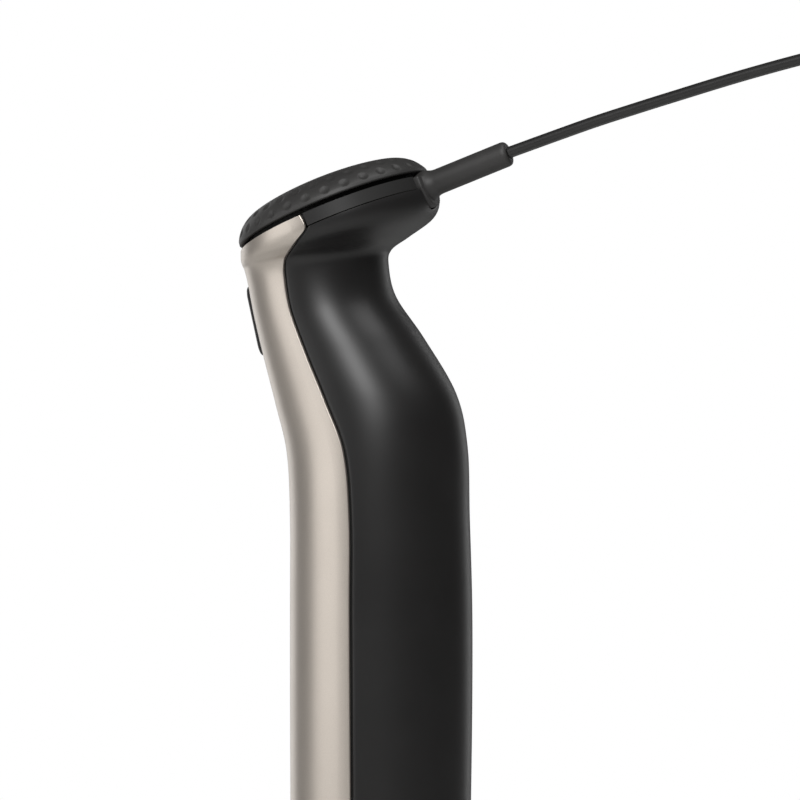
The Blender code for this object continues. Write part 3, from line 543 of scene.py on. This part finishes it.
def skin_rings(bm, rings):
    """Faces from each ring to the next, and from the last to the first."""
    segments = len(rings[0])
    for i, ring in enumerate(rings):
        following = rings[(i + 1) % len(rings)]
        for j in range(segments):
            k = (j + 1) % segments
            corners = []
            for vert in (ring[j], ring[k], following[k], following[j]):
                if vert not in corners:
                    corners.append(vert)
            if len(corners) > 2:
                bm.faces.new(corners)


def lathe(profile, segments=128, frame=None):
    """Turns a closed line of (radius, height) points round Z."""
    bm = bmesh.new()
    skin_rings(bm, [turned_ring(bm, radius, height, segments) for radius, height in profile])
    if frame is not None:
        bm.transform(frame)
    return bm


def rod(radius, low, high, segments=32, frame=None):
    return lathe(((0.0, low), (radius, low), (radius, high), (0.0, high)), segments, frame=frame)


def box(low, high, frame=None):
    bm = bmesh.new()
    bmesh.ops.create_cube(bm, size=1.0)
    size = [b - a for a, b in zip(low, high)]
    middle = [(a + b) / 2 for a, b in zip(low, high)]
    bm.transform(Matrix.Translation(middle) @ Matrix.Diagonal((*size, 1.0)))
    if frame is not None:
        bm.transform(frame)
    return bm


def plate(outline, holes, low, high, frame=None):
    """An outline with holes, extruded along Z from low to high."""
    bm = bmesh.new()
    for loop in (outline, *holes):
        verts = [bm.verts.new((x, y, low)) for x, y in loop]
        for i, vert in enumerate(verts):
            bm.edges.new((vert, verts[(i + 1) % len(verts)]))
    bmesh.ops.triangle_fill(bm, edges=list(bm.edges), use_beauty=True)
    grown = bmesh.ops.extrude_face_region(bm, geom=list(bm.faces))
    moved = [item for item in grown["geom"] if isinstance(item, bmesh.types.BMVert)]
    bmesh.ops.translate(bm, verts=moved, vec=(0.0, 0.0, high - low))
    if frame is not None:
        bm.transform(frame)
    return bm


def rounded_box(half_u, half_v, corner, steps=10):
    points = []
    for quarter in range(4):
        sign_u = 1 if quarter in (0, 3) else -1
        sign_v = 1 if quarter in (0, 1) else -1
        for i in range(steps + 1):
            angle = math.pi / 2 * (quarter + i / steps)
            points.append((sign_u * (half_u - corner) + corner * math.cos(angle),
                           sign_v * (half_v - corner) + corner * math.sin(angle)))
    return points


def smooth_rows(keys, spans):
    """Rows read from a Catmull-Rom curve through the keys."""
    rows = []
    last = len(keys) - 1
    for i, count in enumerate(spans):
        before = keys[max(i - 1, 0)]
        start = keys[i]
        end = keys[i + 1]
        after = keys[min(i + 2, last)]
        for step in range(count):
            t = step / count
            row = []
            for a, b, c, d in zip(before, start, end, after):
                slope_in = (c - a) / 2
                slope_out = (d - b) / 2
                row.append((2 * t ** 3 - 3 * t ** 2 + 1) * b + (t ** 3 - 2 * t ** 2 + t) * slope_in
                           + (3 * t ** 2 - 2 * t ** 3) * c + (t ** 3 - t ** 2) * slope_out)
            rows.append(row)
    rows.append(list(keys[-1]))
    return rows


def head_frame():
    """The dial's own frame: Z is its axis, and zero is its lower edge."""
    return Matrix.Translation((DIAL_CENTRE[0], 0.0, DIAL_CENTRE[1])) @ Matrix.Rotation(-HEAD_TILT, 4, "Y")


def neck_frame():
    """The trigger's frame: X runs up the neck, Y across it and Z into it."""
    up = Vector((-math.sin(NECK_TILT), 0.0, math.cos(NECK_TILT)))
    inward = Vector((math.cos(NECK_TILT), 0.0, math.sin(NECK_TILT)))
    across = inward.cross(up)
    turn = Matrix((up, across, inward)).transposed().to_4x4()
    return Matrix.Translation((NECK_POINT[0], 0.0, NECK_POINT[1])) @ turn


# ---------------------------------------------------------------- motor body

def body_rows():
    keys = [(*section, seam) for section, seam in zip(BODY_SECTIONS, SEAM_DEGREES)]
    return smooth_rows(keys, ROWS_PER_SPAN)


def section_point(row, degrees, depth):
    """A point of a cross-section: 0 degrees is the front, 90 the left side, 180 the back."""
    front = Vector((row[0], 0.0, row[1]))
    back = Vector((row[2], 0.0, row[3]))
    half = (back - front) / 2
    reach = half.length
    angle = math.radians(degrees)
    along = half.normalized() * (-(reach - depth) * math.cos(angle))
    return (front + back) / 2 + along + Vector((0.0, -(row[4] - depth) * math.sin(angle), 0.0))


def shell_loop(row, columns):
    outer = [section_point(row, degrees, deep) for degrees, deep, _ in columns]
    inner = [section_point(row, degrees, deep) for degrees, _, deep in columns]
    return outer + inner[::-1]


def front_columns(seam, steps=56):
    """Degrees with the outer and inner depth: a thin lip that laps over the rear shell, and the full wall."""
    edge = seam - SEAM_HALF
    step = edge - 8.5
    soft = ((0.0, 0.2), (0.15, 0.08), (0.4, 0.02), (0.9, 0.0))
    columns = [(-edge + back, deep, LAP_SKIN) for back, deep in soft]
    columns += [(-step - 0.6, 0.0, LAP_SKIN)]
    columns += [(-step + 2 * step * i / steps, 0.0, WALL) for i in range(steps + 1)]
    columns += [(step + 0.6, 0.0, LAP_SKIN)]
    columns += [(edge - back, deep, LAP_SKIN) for back, deep in soft[::-1]]
    return columns


def rear_columns(seam, steps=64):
    """As front_columns, with a tongue that lies under the front shell's lip."""
    edge = seam + SEAM_HALF
    tip = seam - 6.0
    tongue = LAP_SKIN + 0.4
    soft = ((0.0, 0.45), (0.25, 0.2), (0.6, 0.06), (1.1, 0.0))
    columns = [(tip, tongue, WALL), (edge - 0.1, tongue, WALL)]
    columns += [(edge + back, deep, WALL) for back, deep in soft]
    first = edge + 2.5
    columns += [(first + (360 - 2 * first) * i / steps, 0.0, WALL) for i in range(steps + 1)]
    columns += [(360 - edge - back, deep, WALL) for back, deep in soft[::-1]]
    columns += [(360 - edge + 0.1, tongue, WALL), (360 - tip, tongue, WALL)]
    return columns


def notch_outline(clearance, low, high, steps=24):
    """The upright U at the back of the head that the cord sleeve's foot fills. A cutter runs past its top."""
    half = 7.2 + clearance
    top = 2.0 if clearance else -DIAL_GAP - 0.2
    bottom_centre = -4.1
    points = [(top, -half), (top, half)]
    points += [(bottom_centre - half * math.sin(math.pi * i / steps), half * math.cos(math.pi * i / steps))
               for i in range(steps + 1)]
    outward = Matrix(((0, 0, 1, 0), (0, 1, 0, 0), (1, 0, 0, 0), (0, 0, 0, 1)))
    return plate(points, (), low, high, head_frame() @ outward)


def make_front_shell(finish):
    loops = [shell_loop(row, front_columns(row[5])) for row in body_rows()]
    shell = mesh_object("front_shell", loft(loops), finish, "housing", ("front_housing",))
    cut(shell, plate(rounded_box(11.5, 7.5, 3.0), (), -8.0, 6.0, neck_frame()))
    add_bevel(shell, 0.12, 50.0)


def make_rear_shell(finish):
    loops = [shell_loop(row, rear_columns(row[5])) for row in body_rows()]
    shell = mesh_object("rear_shell", loft(loops), finish, "housing", ("rear_housing",))
    collar_line = -DIAL_GAP - COLLAR_HEIGHT - TOUCH_GAP
    cut(shell, box((-50.0, -50.0, collar_line), (50.0, 50.0, 20.0), head_frame()))
    cut(shell, notch_outline(NOTCH_GAP, NOTCH_FLOOR, 40.0))
    add_bevel(shell, 0.5, 50.0)


def make_collar(finish):
    """The band round the head's black half, and the plate under the dial, with a lip in the dial's hollow."""
    low = -DIAL_GAP - COLLAR_HEIGHT
    inner = 27.0
    corners = ((DIAL_RADIUS, low), (DIAL_RADIUS, -DIAL_GAP), (inner, -DIAL_GAP), (inner, low))
    reach = math.radians(88.4)
    steps = 96
    loops = []
    for i in range(steps + 1):
        angle = reach * (2 * i / steps - 1)
        across = Vector((math.cos(angle), math.sin(angle), 0.0))
        loops.append([head_frame() @ (across * radius + Vector((0.0, 0.0, height)))
                      for radius, height in corners])
    collar = mesh_object("collar_band", loft(loops), finish, "housing", ("top_collar",))
    top = -DIAL_GAP - 0.1
    bottom = top - 2.1
    hole, edge = 3.9, 27.6
    lip_inner, lip_outer, lip_top = 25.0, 26.4, 1.2
    disc = ((hole, bottom), (edge, bottom), (edge, top), (lip_outer, top), (lip_outer, lip_top),
            (lip_inner, lip_top), (lip_inner, top), (hole, top))
    join(collar, lathe(disc, 96, frame=head_frame()))
    cut(collar, notch_outline(NOTCH_GAP, NOTCH_FLOOR, 40.0))
    add_bevel(collar, 0.4, 50.0)


# ---------------------------------------------------------------- dial

def dome_profile():
    """The dial's outer line from its centre to its lower edge, as close points."""
    keys = ((0.0, 9.9), (5.8, 9.75), (11.7, 9.3), (16.8, 8.65), (21.3, 7.85), (24.6, 6.9), (27.2, 5.4),
            (29.1, 3.4), (30.15, 1.7), (DIAL_RADIUS, 0.4))
    return smooth_rows(keys, (2, 3, 4, 10, 12, 12, 12, 12, 10))


def dimple_depth(radius, height, angle):
    """Staggered rows of shallow round dimples round the shoulder."""
    depth = 0.0
    pitch = 2 * math.pi / DIMPLE_COUNT
    for row_radius, row_height, shift in DIMPLE_ROWS:
        nearest = (round(angle / pitch - shift) + shift) * pitch
        along = (angle - nearest) * row_radius
        up = math.hypot(radius - row_radius, height - row_height)
        reach = math.hypot(along, up) / DIMPLE_RADIUS
        if reach < 1.0:
            depth = max(depth, DIMPLE_DEPTH * (1 - reach ** 2) ** 1.3)
    return depth


def make_dial(finish):
    """The dome with its dimples, then the hollow underside and the hub for the spindle."""
    profile = dome_profile()
    segments = 720
    bm = bmesh.new()
    rings = [turned_ring(bm, *profile[0], segments)]
    for i, (radius, height) in enumerate(profile[1:], 1):
        before = profile[i - 1]
        after = profile[min(i + 1, len(profile) - 1)]
        tangent = Vector((after[0] - before[0], after[1] - before[1])).normalized()
        outward = Vector((-tangent.y, tangent.x))
        ring = []
        for j in range(segments):
            angle = 2 * math.pi * j / segments
            depth = dimple_depth(radius, height, angle)
            r = radius - outward.x * depth
            h = height - outward.y * depth
            ring.append(bm.verts.new((r * math.cos(angle), r * math.sin(angle), h)))
        rings.append(ring)
    inside = ((DIAL_RADIUS - 0.15, 0.12), (DIAL_RADIUS - 0.5, 0.0), (28.8, 0.0), (27.6, 2.4), (24.0, 4.6),
              (16.0, 6.4), (6.6, 7.2), (5.0, 6.6), (5.0, -0.7), (2.0, -0.7), (2.0, 5.2), (0.0, 5.2))
    rings += [turned_ring(bm, radius, height, segments) for radius, height in inside]
    skin_rings(bm, rings)
    bm.transform(head_frame())
    mesh_object("dial_knob", bm, finish, "dial", ("speed_dial",), smooth=50.0)


# ---------------------------------------------------------------- cord sleeve

def make_sleeve(finish):
    """One soft rubber moulding: a foot in the head's notch that flows into a round sleeve."""
    foot = notch_outline(0.0, NOTCH_FLOOR + NOTCH_GAP, DIAL_RADIUS + 0.5)
    sleeve = mesh_object("cord_sleeve", foot, finish, "housing", ("strain_relief",))
    start = -SLEEVE_LENGTH
    swell = 0.9
    flare = [(SLEEVE_RADIUS + swell * (1 - i / 6) ** 2, start + 3.6 + 3.0 * i / 6) for i in range(7)]
    profile = [(0.0, start), (SLEEVE_RADIUS + swell, start), *flare, (SLEEVE_RADIUS, -1.1),
               (SLEEVE_RADIUS - 0.3, -0.4), (SLEEVE_RADIUS - 1.0, 0.0), (0.0, 0.0)]
    lie = Matrix.Rotation(math.pi / 2 - SLEEVE_RISE, 4, "Y")
    join(sleeve, lathe(profile, 64, frame=Matrix.Translation((SLEEVE_EXIT[0], 0.0, SLEEVE_EXIT[1])) @ lie))
    remesh = sleeve.modifiers.new("mould", "REMESH")
    remesh.mode = "VOXEL"
    remesh.voxel_size = 0.32 * MM
    remesh.use_smooth_shade = True
    soften = sleeve.modifiers.new("soften", "SMOOTH")
    soften.factor = 0.5
    soften.iterations = 6
    apply_modifiers(sleeve)


# ---------------------------------------------------------------- trigger and release buttons

def make_trigger(finish):
    """A button whose face is hollowed along its middle for the finger, a rocker lug and the spring's seat."""
    neck = neck_frame()
    half_high, half_wide = 10.75, 7.0
    raised = 0.2
    # Depth into the neck, how far the outline is drawn in, and how much of the crosswise curve it has.
    levels = ((3.4, 0.0, 0.0), (0.4, 0.0, 1.0), (-0.2, 0.05, 1.0), (-0.7, 0.3, 1.0), (-1.05, 0.8, 1.0),
              (-1.3, 1.6, 1.0), (-1.45, 2.8, 0.9), (-1.5, 4.6, 0.7), (-1.35, 6.2, 0.5))
    loops = []
    for depth, inset, curved in levels:
        corner = max(0.6, 2.6 - 0.3 * inset)
        outline = rounded_box(half_high - inset, half_wide - min(inset, 6.3), corner, 8)
        loops.append([neck @ Vector((u + raised, v, depth + curved * v * v / 44)) for u, v in outline])
    button = mesh_object("trigger_button", loft(loops), finish, "trigger", ("trigger",),
                         smooth=50.0)
    join(button, box((5.2, -4.6, 3.0), (10.6, 4.6, 10.8), neck))
    join(button, rod(1.6, 3.0, 5.6, 24, frame=neck @ Matrix.Translation((-6.0, 0.0, 0.0))))
    pin_turn = neck @ Matrix.Translation((8.5, 0.0, 8.0)) @ Matrix.Rotation(math.pi / 2, 4, "X")
    cut(button, rod(1.8, -9.0, 9.0, 32, frame=pin_turn))


def release_pin_frame(side):
    """A frame at the lever's pivot, with Z along its pin. The side is -1 for the left and 1 for the right."""
    pivot_y, pivot_z = RELEASE_PIVOT
    return Matrix.Translation((0.0, side * pivot_y, pivot_z)) @ Matrix.Rotation(math.pi / 2, 4, "Y")


def make_release_buttons(finish):
    """A pad that follows the round collar, with grooves for the thumb, on its lever with the hook below."""
    half_wide, half_high = 5.95, 5.5
    collar_curve = 1 / 56
    levels = ((23.6, 0.0), (26.9, 0.0), (27.4, 0.15), (27.8, 0.6), (28.0, 1.4), (28.02, 2.6))
    lever_line = ((22.8, 225.4), (25.0, 225.2), (25.0, 214.2), (23.4, 214.0), (23.0, 205.0), (22.4, 203.4),
                  (17.5, 203.4), (17.5, 205.6), (20.4, 206.8), (20.0, 212.0), (21.6, 214.0))
    for name, side in (("left", -1), ("right", 1)):
        loops = []
        for depth, inset in levels:
            curve = 0.0 if depth < 24 else collar_curve
            outline = rounded_box(half_wide - inset, half_high - inset, max(0.5, 1.8 - 0.3 * inset), 8)
            loops.append([Vector((u, side * (depth - curve * u * u), RELEASE_PAD_HEIGHT + v))
                          for u, v in outline])
        pad = mesh_object(f"release_pad_{name}", loft(loops), finish, f"release_{name}",
                          (f"release_button_{name}",), smooth=50.0)
        turn = Matrix(((0, 0, 1, 0), (side, 0, 0, 0), (0, 1, 0, 0), (0, 0, 0, 1)))
        join(pad, plate(lever_line, (), -3.9, 3.9, turn))
        near, far = sorted((side * 27.3, side * 30.0))
        for i in range(4):
            groove = 216.6 + 2.1 * i
            cut(pad, box((-4.2, near, groove - 0.35), (4.2, far, groove + 0.35)))
        cut(pad, rod(PIN_BORE_RADIUS, -9.0, 9.0, 24, frame=release_pin_frame(side)))


def make_lower_collar(finish):
    """The ring below the shells, with a spigot in them, the buttons' windows and two rows of vents."""
    bottom = COLLAR_BOTTOM
    top = COLLAR_TOP
    mouth = 17.6
    profile = ((mouth, bottom), (25.9, bottom), (26.5, bottom + 0.25), (26.75, bottom + 0.9),
               (26.9, bottom + 3.0), (27.1, top - 0.6), (26.9, top - 0.1), (26.4, top), (23.7, top),
               (23.7, top + 4.4), (22.2, top + 4.4), (22.2, top - 2.0), (24.6, top - 4.0),
               (24.6, bottom + 2.2), (mouth, bottom + 2.2))
    collar = mesh_object("collar_ring", lathe(profile, 144), finish, "housing", ("lower_collar",))
    pivot_y, pivot_z = RELEASE_PIVOT
    for side in (-1, 1):
        near, far = sorted((side * (pivot_y - 2.2), side * 25.6))
        for lug_x in (-6.6, 4.8):
            join(collar, box((lug_x, near, pivot_z - 2.4), (lug_x + 1.8, far, pivot_z + 2.4)))
        cut(collar, rod(PIN_BORE_RADIUS, -9.0, 9.0, 24, frame=release_pin_frame(side)))
        window = (Matrix.Translation((0.0, side * 19.9, RELEASE_WINDOW_HEIGHT))
                  @ Matrix.Rotation(-side * math.pi / 2, 4, "X"))
        cut(collar, plate(rounded_box(6.4, 6.7, 2.2), (), 0.0, 12.0, window))
    vent_step = math.radians(16)
    for direction in (0, math.pi):
        for i in range(5):
            spin = Matrix.Rotation(direction + vent_step * (i - 2), 4, "Z")
            place = spin @ Matrix.Translation((0, 0, VENT_HEIGHT)) @ FACING_X
            cut(collar, plate(rounded_box(1.1, 7.0, 1.05, 6), (), 20.0, 30.0, place))
    add_bevel(collar, 0.25, 60.0, 2)


# ---------------------------------------------------------------- leg

def make_leg_shoulder(finish):
    """The black collar of the leg, with the grooved neck that goes up into the motor body."""
    outer = smooth_rows(((19.4, 166.0), (20.6, 170.0), (22.9, 177.0), (25.3, 186.0), (26.35, 194.0),
                         (26.6, 199.2)), (6, 8, 8, 8, 6))
    under = [(12.5, 173.2), (17.6, 173.2), (17.6, 166.4), (18.0, 166.0), (19.0, 165.95)]
    neck = [(26.4, 199.8), (25.9, 200.0), (17.0, 200.0), (17.0, 203.6), (15.6, 204.0), (15.6, 207.4),
            (17.0, 207.8), (17.0, 211.2), (16.2, 212.0), (12.5, 212.0)]
    profile = [*under, *outer, *neck]
    mesh_object("leg_shoulder", lathe(profile, 144), finish, "leg", ("leg_collar",))


def make_tube(finish):
    """The steel tube, which widens upwards, with a thin wall."""
    wall = 1.1
    line = smooth_rows(((12.6, BELL_TOP + 0.4), (13.6, 78.0), (15.2, 110.0), (16.6, 148.0), (17.1, TUBE_TOP)),
                       (6, 8, 8, 6))
    profile = [*line, *((radius - wall, height) for radius, height in line[::-1])]
    mesh_object("steel_tube", lathe(profile, 144), finish, "leg", ("shaft_tube",))


def make_bell(finish):
    """The steel bell over the blade, with four rounded windows."""
    outside = smooth_rows(((12.6, BELL_TOP), (13.4, 53.0), (16.6, 46.0), (22.0, 38.6), (27.6, 30.0),
                           (31.0, 20.0), (BELL_RADIUS, 9.0), (BELL_RADIUS, 5.2)), (4, 6, 6, 6, 6, 6, 4))
    inside = smooth_rows(((30.4, 5.2), (30.4, 9.0), (29.2, 19.4), (25.9, 28.8), (20.6, 36.8), (15.0, 44.0),
                          (10.4, 47.4)), (4, 6, 6, 6, 6, 4))
    profile = [*outside, *inside, (10.2, 48.2), (10.2, BELL_TOP)]
    dome = mesh_object("bell_dome", lathe(profile, 144), finish, "leg", ("bell",))
    for i in range(4):
        spin = Matrix.Rotation(math.pi / 2 * i, 4, "Z")
        place = spin @ Matrix.Translation((0, 0, WINDOW_HEIGHT)) @ FACING_X
        cut(dome, plate(rounded_box(7.0, 7.0, 4.0), (), 22.0, 40.0, place))
    add_bevel(dome, 0.3, 50.0)


def make_rim(finish):
    """The rubber guard on the bell's edge: a rounded foot and one fine groove."""
    corner = 0.8
    flat = RIM_RADIUS - corner
    turns = [math.pi / 12 * i for i in range(1, 7)]
    profile = [(29.4, 0.7), (30.1, 0.0), (flat, 0.0)]
    profile += [(flat + corner * math.sin(turn), corner - corner * math.cos(turn)) for turn in turns]
    profile += [(RIM_RADIUS, 2.6), (32.95, 2.9), (32.95, 3.3), (RIM_RADIUS, 3.6), (RIM_RADIUS, 6.0),
                (33.0, 6.6), (BELL_RADIUS + 0.4, 6.9), (BELL_RADIUS + 0.3, 4.8), (29.4, 4.8)]
    mesh_object("rim_bumper", lathe(profile, 144), finish, "leg", ("rim_guard",))


def blade_loops(steps=44):
    """An S-shaped blade, tip to tip: one arm rises, the other drops, and each has one ground edge."""
    centre_height = 13.8
    bevel = 1.5
    blunt = 0.9
    loops = []
    for i in range(steps + 1):
        share = 2 * i / steps - 1
        beyond = max(0.0, abs(share) - 0.3) / 0.7
        side = math.copysign(1.0, share)
        height = centre_height + side * 5.2 * beyond ** 2
        middle = Vector((BLADE_REACH * share, side * 5.0 * beyond ** 2, height))
        half = 5.6 - 3.0 * beyond - 0.9 * beyond ** 6
        thick = 0.75 - 0.25 * beyond
        ground = 0.12 + 0.6 * (1 - beyond)
        left, right = (ground * thick, blunt * thick) if side > 0 else (blunt * thick, ground * thick)
        section = ((-half, -left), (-half + bevel, -thick), (half - bevel, -thick), (half, -right),
                   (half, right), (half - bevel, thick), (-half + bevel, thick), (-half, left))
        loops.append([middle + Vector((0.0, y, z)) for y, z in section])
    return loops


def make_blade(finish):
    """The blade, the round spacer above it and the six-sided nut below it."""
    bore = DRIVE_RADIUS + 0.4
    blade = mesh_object("cutting_blade", loft(blade_loops()), finish, "blade", ("blade",),
                        smooth=25.0)
    cut(blade, rod(bore, 5.0, 25.0, 48))
    hub_line = ((bore, 15.2), (5.1, 15.2), (5.4, 15.5), (5.4, 19.8), (4.2, 22.0), (bore, 22.0))
    mesh_object("hub_spacer", lathe(hub_line, 64), finish, "blade", ("blade_hub",))
    nut_line = ((0.0, 8.0), (2.6, 8.05), (4.0, 8.7), (4.8, 9.4), (5.2, 10.2), (5.2, 12.0), (0.0, 12.0))
    nut = mesh_object("dome_nut", lathe(nut_line, 6), finish, "blade", ("blade_nut",),
                      smooth=20.0)
    add_bevel(nut, 0.2, 25.0)


# ---------------------------------------------------------------- cord and plug

def coil_route():
    """The turns, as an angle in degrees, a radius, a height and the cord's lean at each of a few places.

    From its landing on the coil the cord goes round inwards in the top layer, down, outwards in the low
    layer, and up to the plug. At a lean of 0 it lies flat, and at 1 it stands on edge.
    """
    landing = math.degrees(LANDING_BEND / COIL_RADIUS)
    edgewise = landing + 130
    top_layer, low_layer = 9.7, 3.9
    keys = (
        (landing, COIL_RADIUS, LEAD_TOP, 0.0),
        (landing + 40, 33.6, LEAD_TOP - 0.4, 0.1),
        (landing + 85, 35.2, 12.6, 0.6),
        (edgewise, 35.3, top_layer, 1.0),
        (edgewise + 360, 31.9, top_layer, 1.0),
        (edgewise + 630, 29.2, top_layer, 1.0),
        (edgewise + 700, 28.4, (top_layer + low_layer) / 2, 1.0),
        (edgewise + 770, 28.0, low_layer, 1.0),
        (edgewise + 1080, 31.2, low_layer, 1.0),
        (edgewise + 1350, 34.4, low_layer, 1.0),
    )
    plug_x = PLUG_CENTRE[0] - COIL_CENTRE[0]
    plug_y = PLUG_REAR + 2.0
    reach = math.hypot(plug_x, plug_y)
    arrival = math.degrees(math.atan2(plug_y, plug_x))
    while arrival < keys[-1][0] + 60:
        arrival += 360
    return (
        *keys,
        (arrival - 95, 37.4, low_layer, 1.0),
        (arrival - 50, 37.5, 9.0, 0.9),
        (arrival - 22, 37.0, 17.5, 0.5),
        (arrival, reach, PLUG_CENTRE[1], 0.0),
    )


def cord_line():
    """The cord's centreline points, and its width's direction at each. It twists a quarter going down."""
    drop = COIL_CENTRE[0] + COIL_RADIUS
    route = [(x, 0.0, z) for x, z in CORD_POINTS] + [(drop, 0.0, LEAD_TOP + LANDING_BEND)]
    points = [Vector(row) for row in smooth_rows(route, [10] * len(CORD_POINTS))]
    widths = []
    twist_from, twist_to = 380.0, 120.0
    hanging = False
    for point in points:
        hanging = hanging or point.x > drop - 1.0
        share = 0.0
        if hanging:
            share = min(1.0, max(0.0, (twist_from - point.z) / (twist_from - twist_to)))
        angle = math.pi / 2 * share
        widths.append(Vector((math.sin(angle), math.cos(angle), 0.0)))
    centre = Vector((*COIL_CENTRE, 0.0))
    steps = 16
    for i in range(1, steps + 1):
        turn = math.pi / 2 * i / steps
        angle = LANDING_BEND * (1 - math.cos(turn)) / COIL_RADIUS
        outward = Vector((math.cos(angle), math.sin(angle), 0.0))
        height = LEAD_TOP + LANDING_BEND * (1 - math.sin(turn))
        points.append(centre + outward * COIL_RADIUS + Vector((0.0, 0.0, height)))
        widths.append(outward)
    keys = coil_route()
    spans = [max(4, round((b[0] - a[0]) / 4)) for a, b in zip(keys, keys[1:])]
    for degrees, radius, height, lean in turn_rows(keys, spans)[1:]:
        angle = math.radians(degrees)
        outward = Vector((math.cos(angle), math.sin(angle), 0.0))
        points.append(centre + outward * radius + Vector((0.0, 0.0, height)))
        tilt = math.pi / 2 * lean
        widths.append(outward * math.cos(tilt) + Vector((0.0, 0.0, math.sin(tilt))))
    points.append(Vector((PLUG_CENTRE[0], PLUG_REAR + TOUCH_GAP, PLUG_CENTRE[1])))
    widths.append(Vector((1.0, 0.0, 0.0)))
    return points, widths


def turn_rows(keys, spans):
    """Angle runs evenly and the other values ease from key to key."""
    rows = []
    for a, b, count in zip(keys, keys[1:], spans):
        for step in range(count):
            t = step / count
            ease = t * t * (3 - 2 * t)
            rows.append([a[0] + (b[0] - a[0]) * t] + [p + (q - p) * ease for p, q in zip(a[1:], b[1:])])
    rows.append(list(keys[-1]))
    return rows


def cord_section():
    """Two round cores side by side, with a shallow groove between them, as (width, thickness) points."""
    radius = CORD_THICKNESS / 2
    offset = CORD_WIDTH / 2 - radius
    points = []
    for side in (1, -1):
        for i in range(11):
            angle = math.radians(-115 + 23 * i)
            points.append((side * (offset + radius * math.cos(angle)), side * radius * math.sin(angle)))
    return points


def make_cord(finish):
    """The cord's mesh, its path and its length."""
    points, widths = cord_line()
    section = cord_section()
    loops = []
    for i, point in enumerate(points):
        before = points[max(i - 1, 0)]
        after = points[min(i + 1, len(points) - 1)]
        forward = (after - before).normalized()
        width = widths[i] - forward * widths[i].dot(forward)
        width.normalize()
        up = forward.cross(width)
        loops.append([point + width * u + up * v for u, v in section])
    length = sum((b - a).length for a, b in zip(points, points[1:]))
    cord = mesh_object("mains_cord", loft(loops), finish, "housing", ("cord_lead", "cord_coil"),
                       smooth=50.0)
    return cord, points, length


def make_plug(finish):
    """A moulded plug that swells from the cord to its face, with four bend-relief grooves at the rear."""
    spin = Matrix.Translation((*COIL_CENTRE, 0.0)) @ Matrix.Rotation(math.pi, 4, "Z")
    side = COIL_CENTRE[0] - PLUG_CENTRE[0]
    lie = Matrix(((1, 0, 0, side), (0, 0, 1, -PLUG_REAR), (0, -1, 0, PLUG_CENTRE[1]), (0, 0, 0, 1)))
    keys = ((0.0, 3.6, 2.9, 2.2), (0.4, 4.2, 3.4, 2.6), (9.0, 4.8, 4.0, 2.8), (12.0, 9.6, 7.0, 3.6),
            (14.5, 11.6, 8.0, 4.0), (25.0, 11.8, 8.0, 4.0), (28.4, 11.3, 7.6, 3.8), (29.0, 10.4, 6.9, 3.4))
    rows = smooth_rows(keys, (2, 6, 6, 6, 8, 4, 3))
    loops = [[spin @ lie @ Vector((u, v, rise)) for u, v in rounded_box(wide, high, corner, 8)]
             for rise, wide, high, corner in rows]
    plug = mesh_object("plug_shell", loft(loops), finish, "housing", ("plug_body",),
                       smooth=40.0)
    for i in range(4):
        low = 2.0 + 1.9 * i
        outside = rounded_box(12.0, 12.0, 2.0)
        kept = rounded_box(4.1, 3.3, 2.0)
        cut(plug, plate(outside, (kept,), low, low + 0.8, spin @ lie))
    return plug


# ---------------------------------------------------------------- carried-over CAD nodes

def dress_nodes(finishes):
    """Gives every CAD node that stays its own procedural material."""
    plan = {
        "steel": ("motor_bolt_left", "motor_bolt_right", "heat_sink", "trigger_pin", "trigger_spring",
                  "release_pin_left", "release_pin_right", "motor_shaft", "dial_spindle", "drive_shaft"),
        "core": ("motor_stator", "armature"),
        "copper": ("field_coil_front", "field_coil_back", "commutator"),
        "brass": ("lower_bearing", "upper_bearing", "brush_holder_left", "brush_holder_right",
                  "upper_bushing", "lower_bushing", "plug_blade_left", "plug_blade_right"),
        "carbon": ("carbon_brush_left", "carbon_brush_right"),
        "grey": ("lower_motor_mount", "upper_motor_mount", "neck_frame", "cooling_fan", "drive_coupling",
                 "switch_plunger", "driven_coupling"),
        "board": ("control_board",),
        "dark": ("capacitor", "micro_switch", "potentiometer"),
        "hard": ("cord_clamp",),
        "rubber": ("shaft_seal", "coil_tie"),
    }
    for finish, names in plan.items():
        for name in names:
            materials = frame["nodes"][name].data.materials
            materials.clear()
            materials.append(finishes[finish])


# ---------------------------------------------------------------- whole scene

def build():
    bpy.context.scene.view_settings.view_transform = "Standard"
    make_camera()
    make_world()
    make_lights()
    make_floor()
    finishes = {
        "steel": brushed_steel("drawn_steel", turned=False),
        "core": core_steel(),
        "copper": enamelled_copper(),
        "brass": satin_brass(),
        "carbon": carbon(),
        "grey": grey_plastic(),
        "board": solder_mask(),
        "dark": dark_component(),
        "hard": hard_black(),
        "rubber": black_rubber(),
    }
    turned_steel = brushed_steel()
    cord, points, length = make_cord(cord_pvc())
    plug = make_plug(finishes["rubber"])
    make_front_shell(champagne_metal())
    make_rear_shell(soft_touch_black())
    make_collar(finishes["hard"])
    make_dial(dial_rubber())
    make_sleeve(black_rubber("sleeve_rubber", 0.024))
    make_trigger(finishes["hard"])
    make_release_buttons(finishes["hard"])
    make_lower_collar(finishes["hard"])
    make_leg_shoulder(finishes["hard"])
    make_tube(turned_steel)
    make_bell(turned_steel)
    make_rim(finishes["rubber"])
    make_blade(finishes["steel"])
    dress_nodes(finishes)


build()
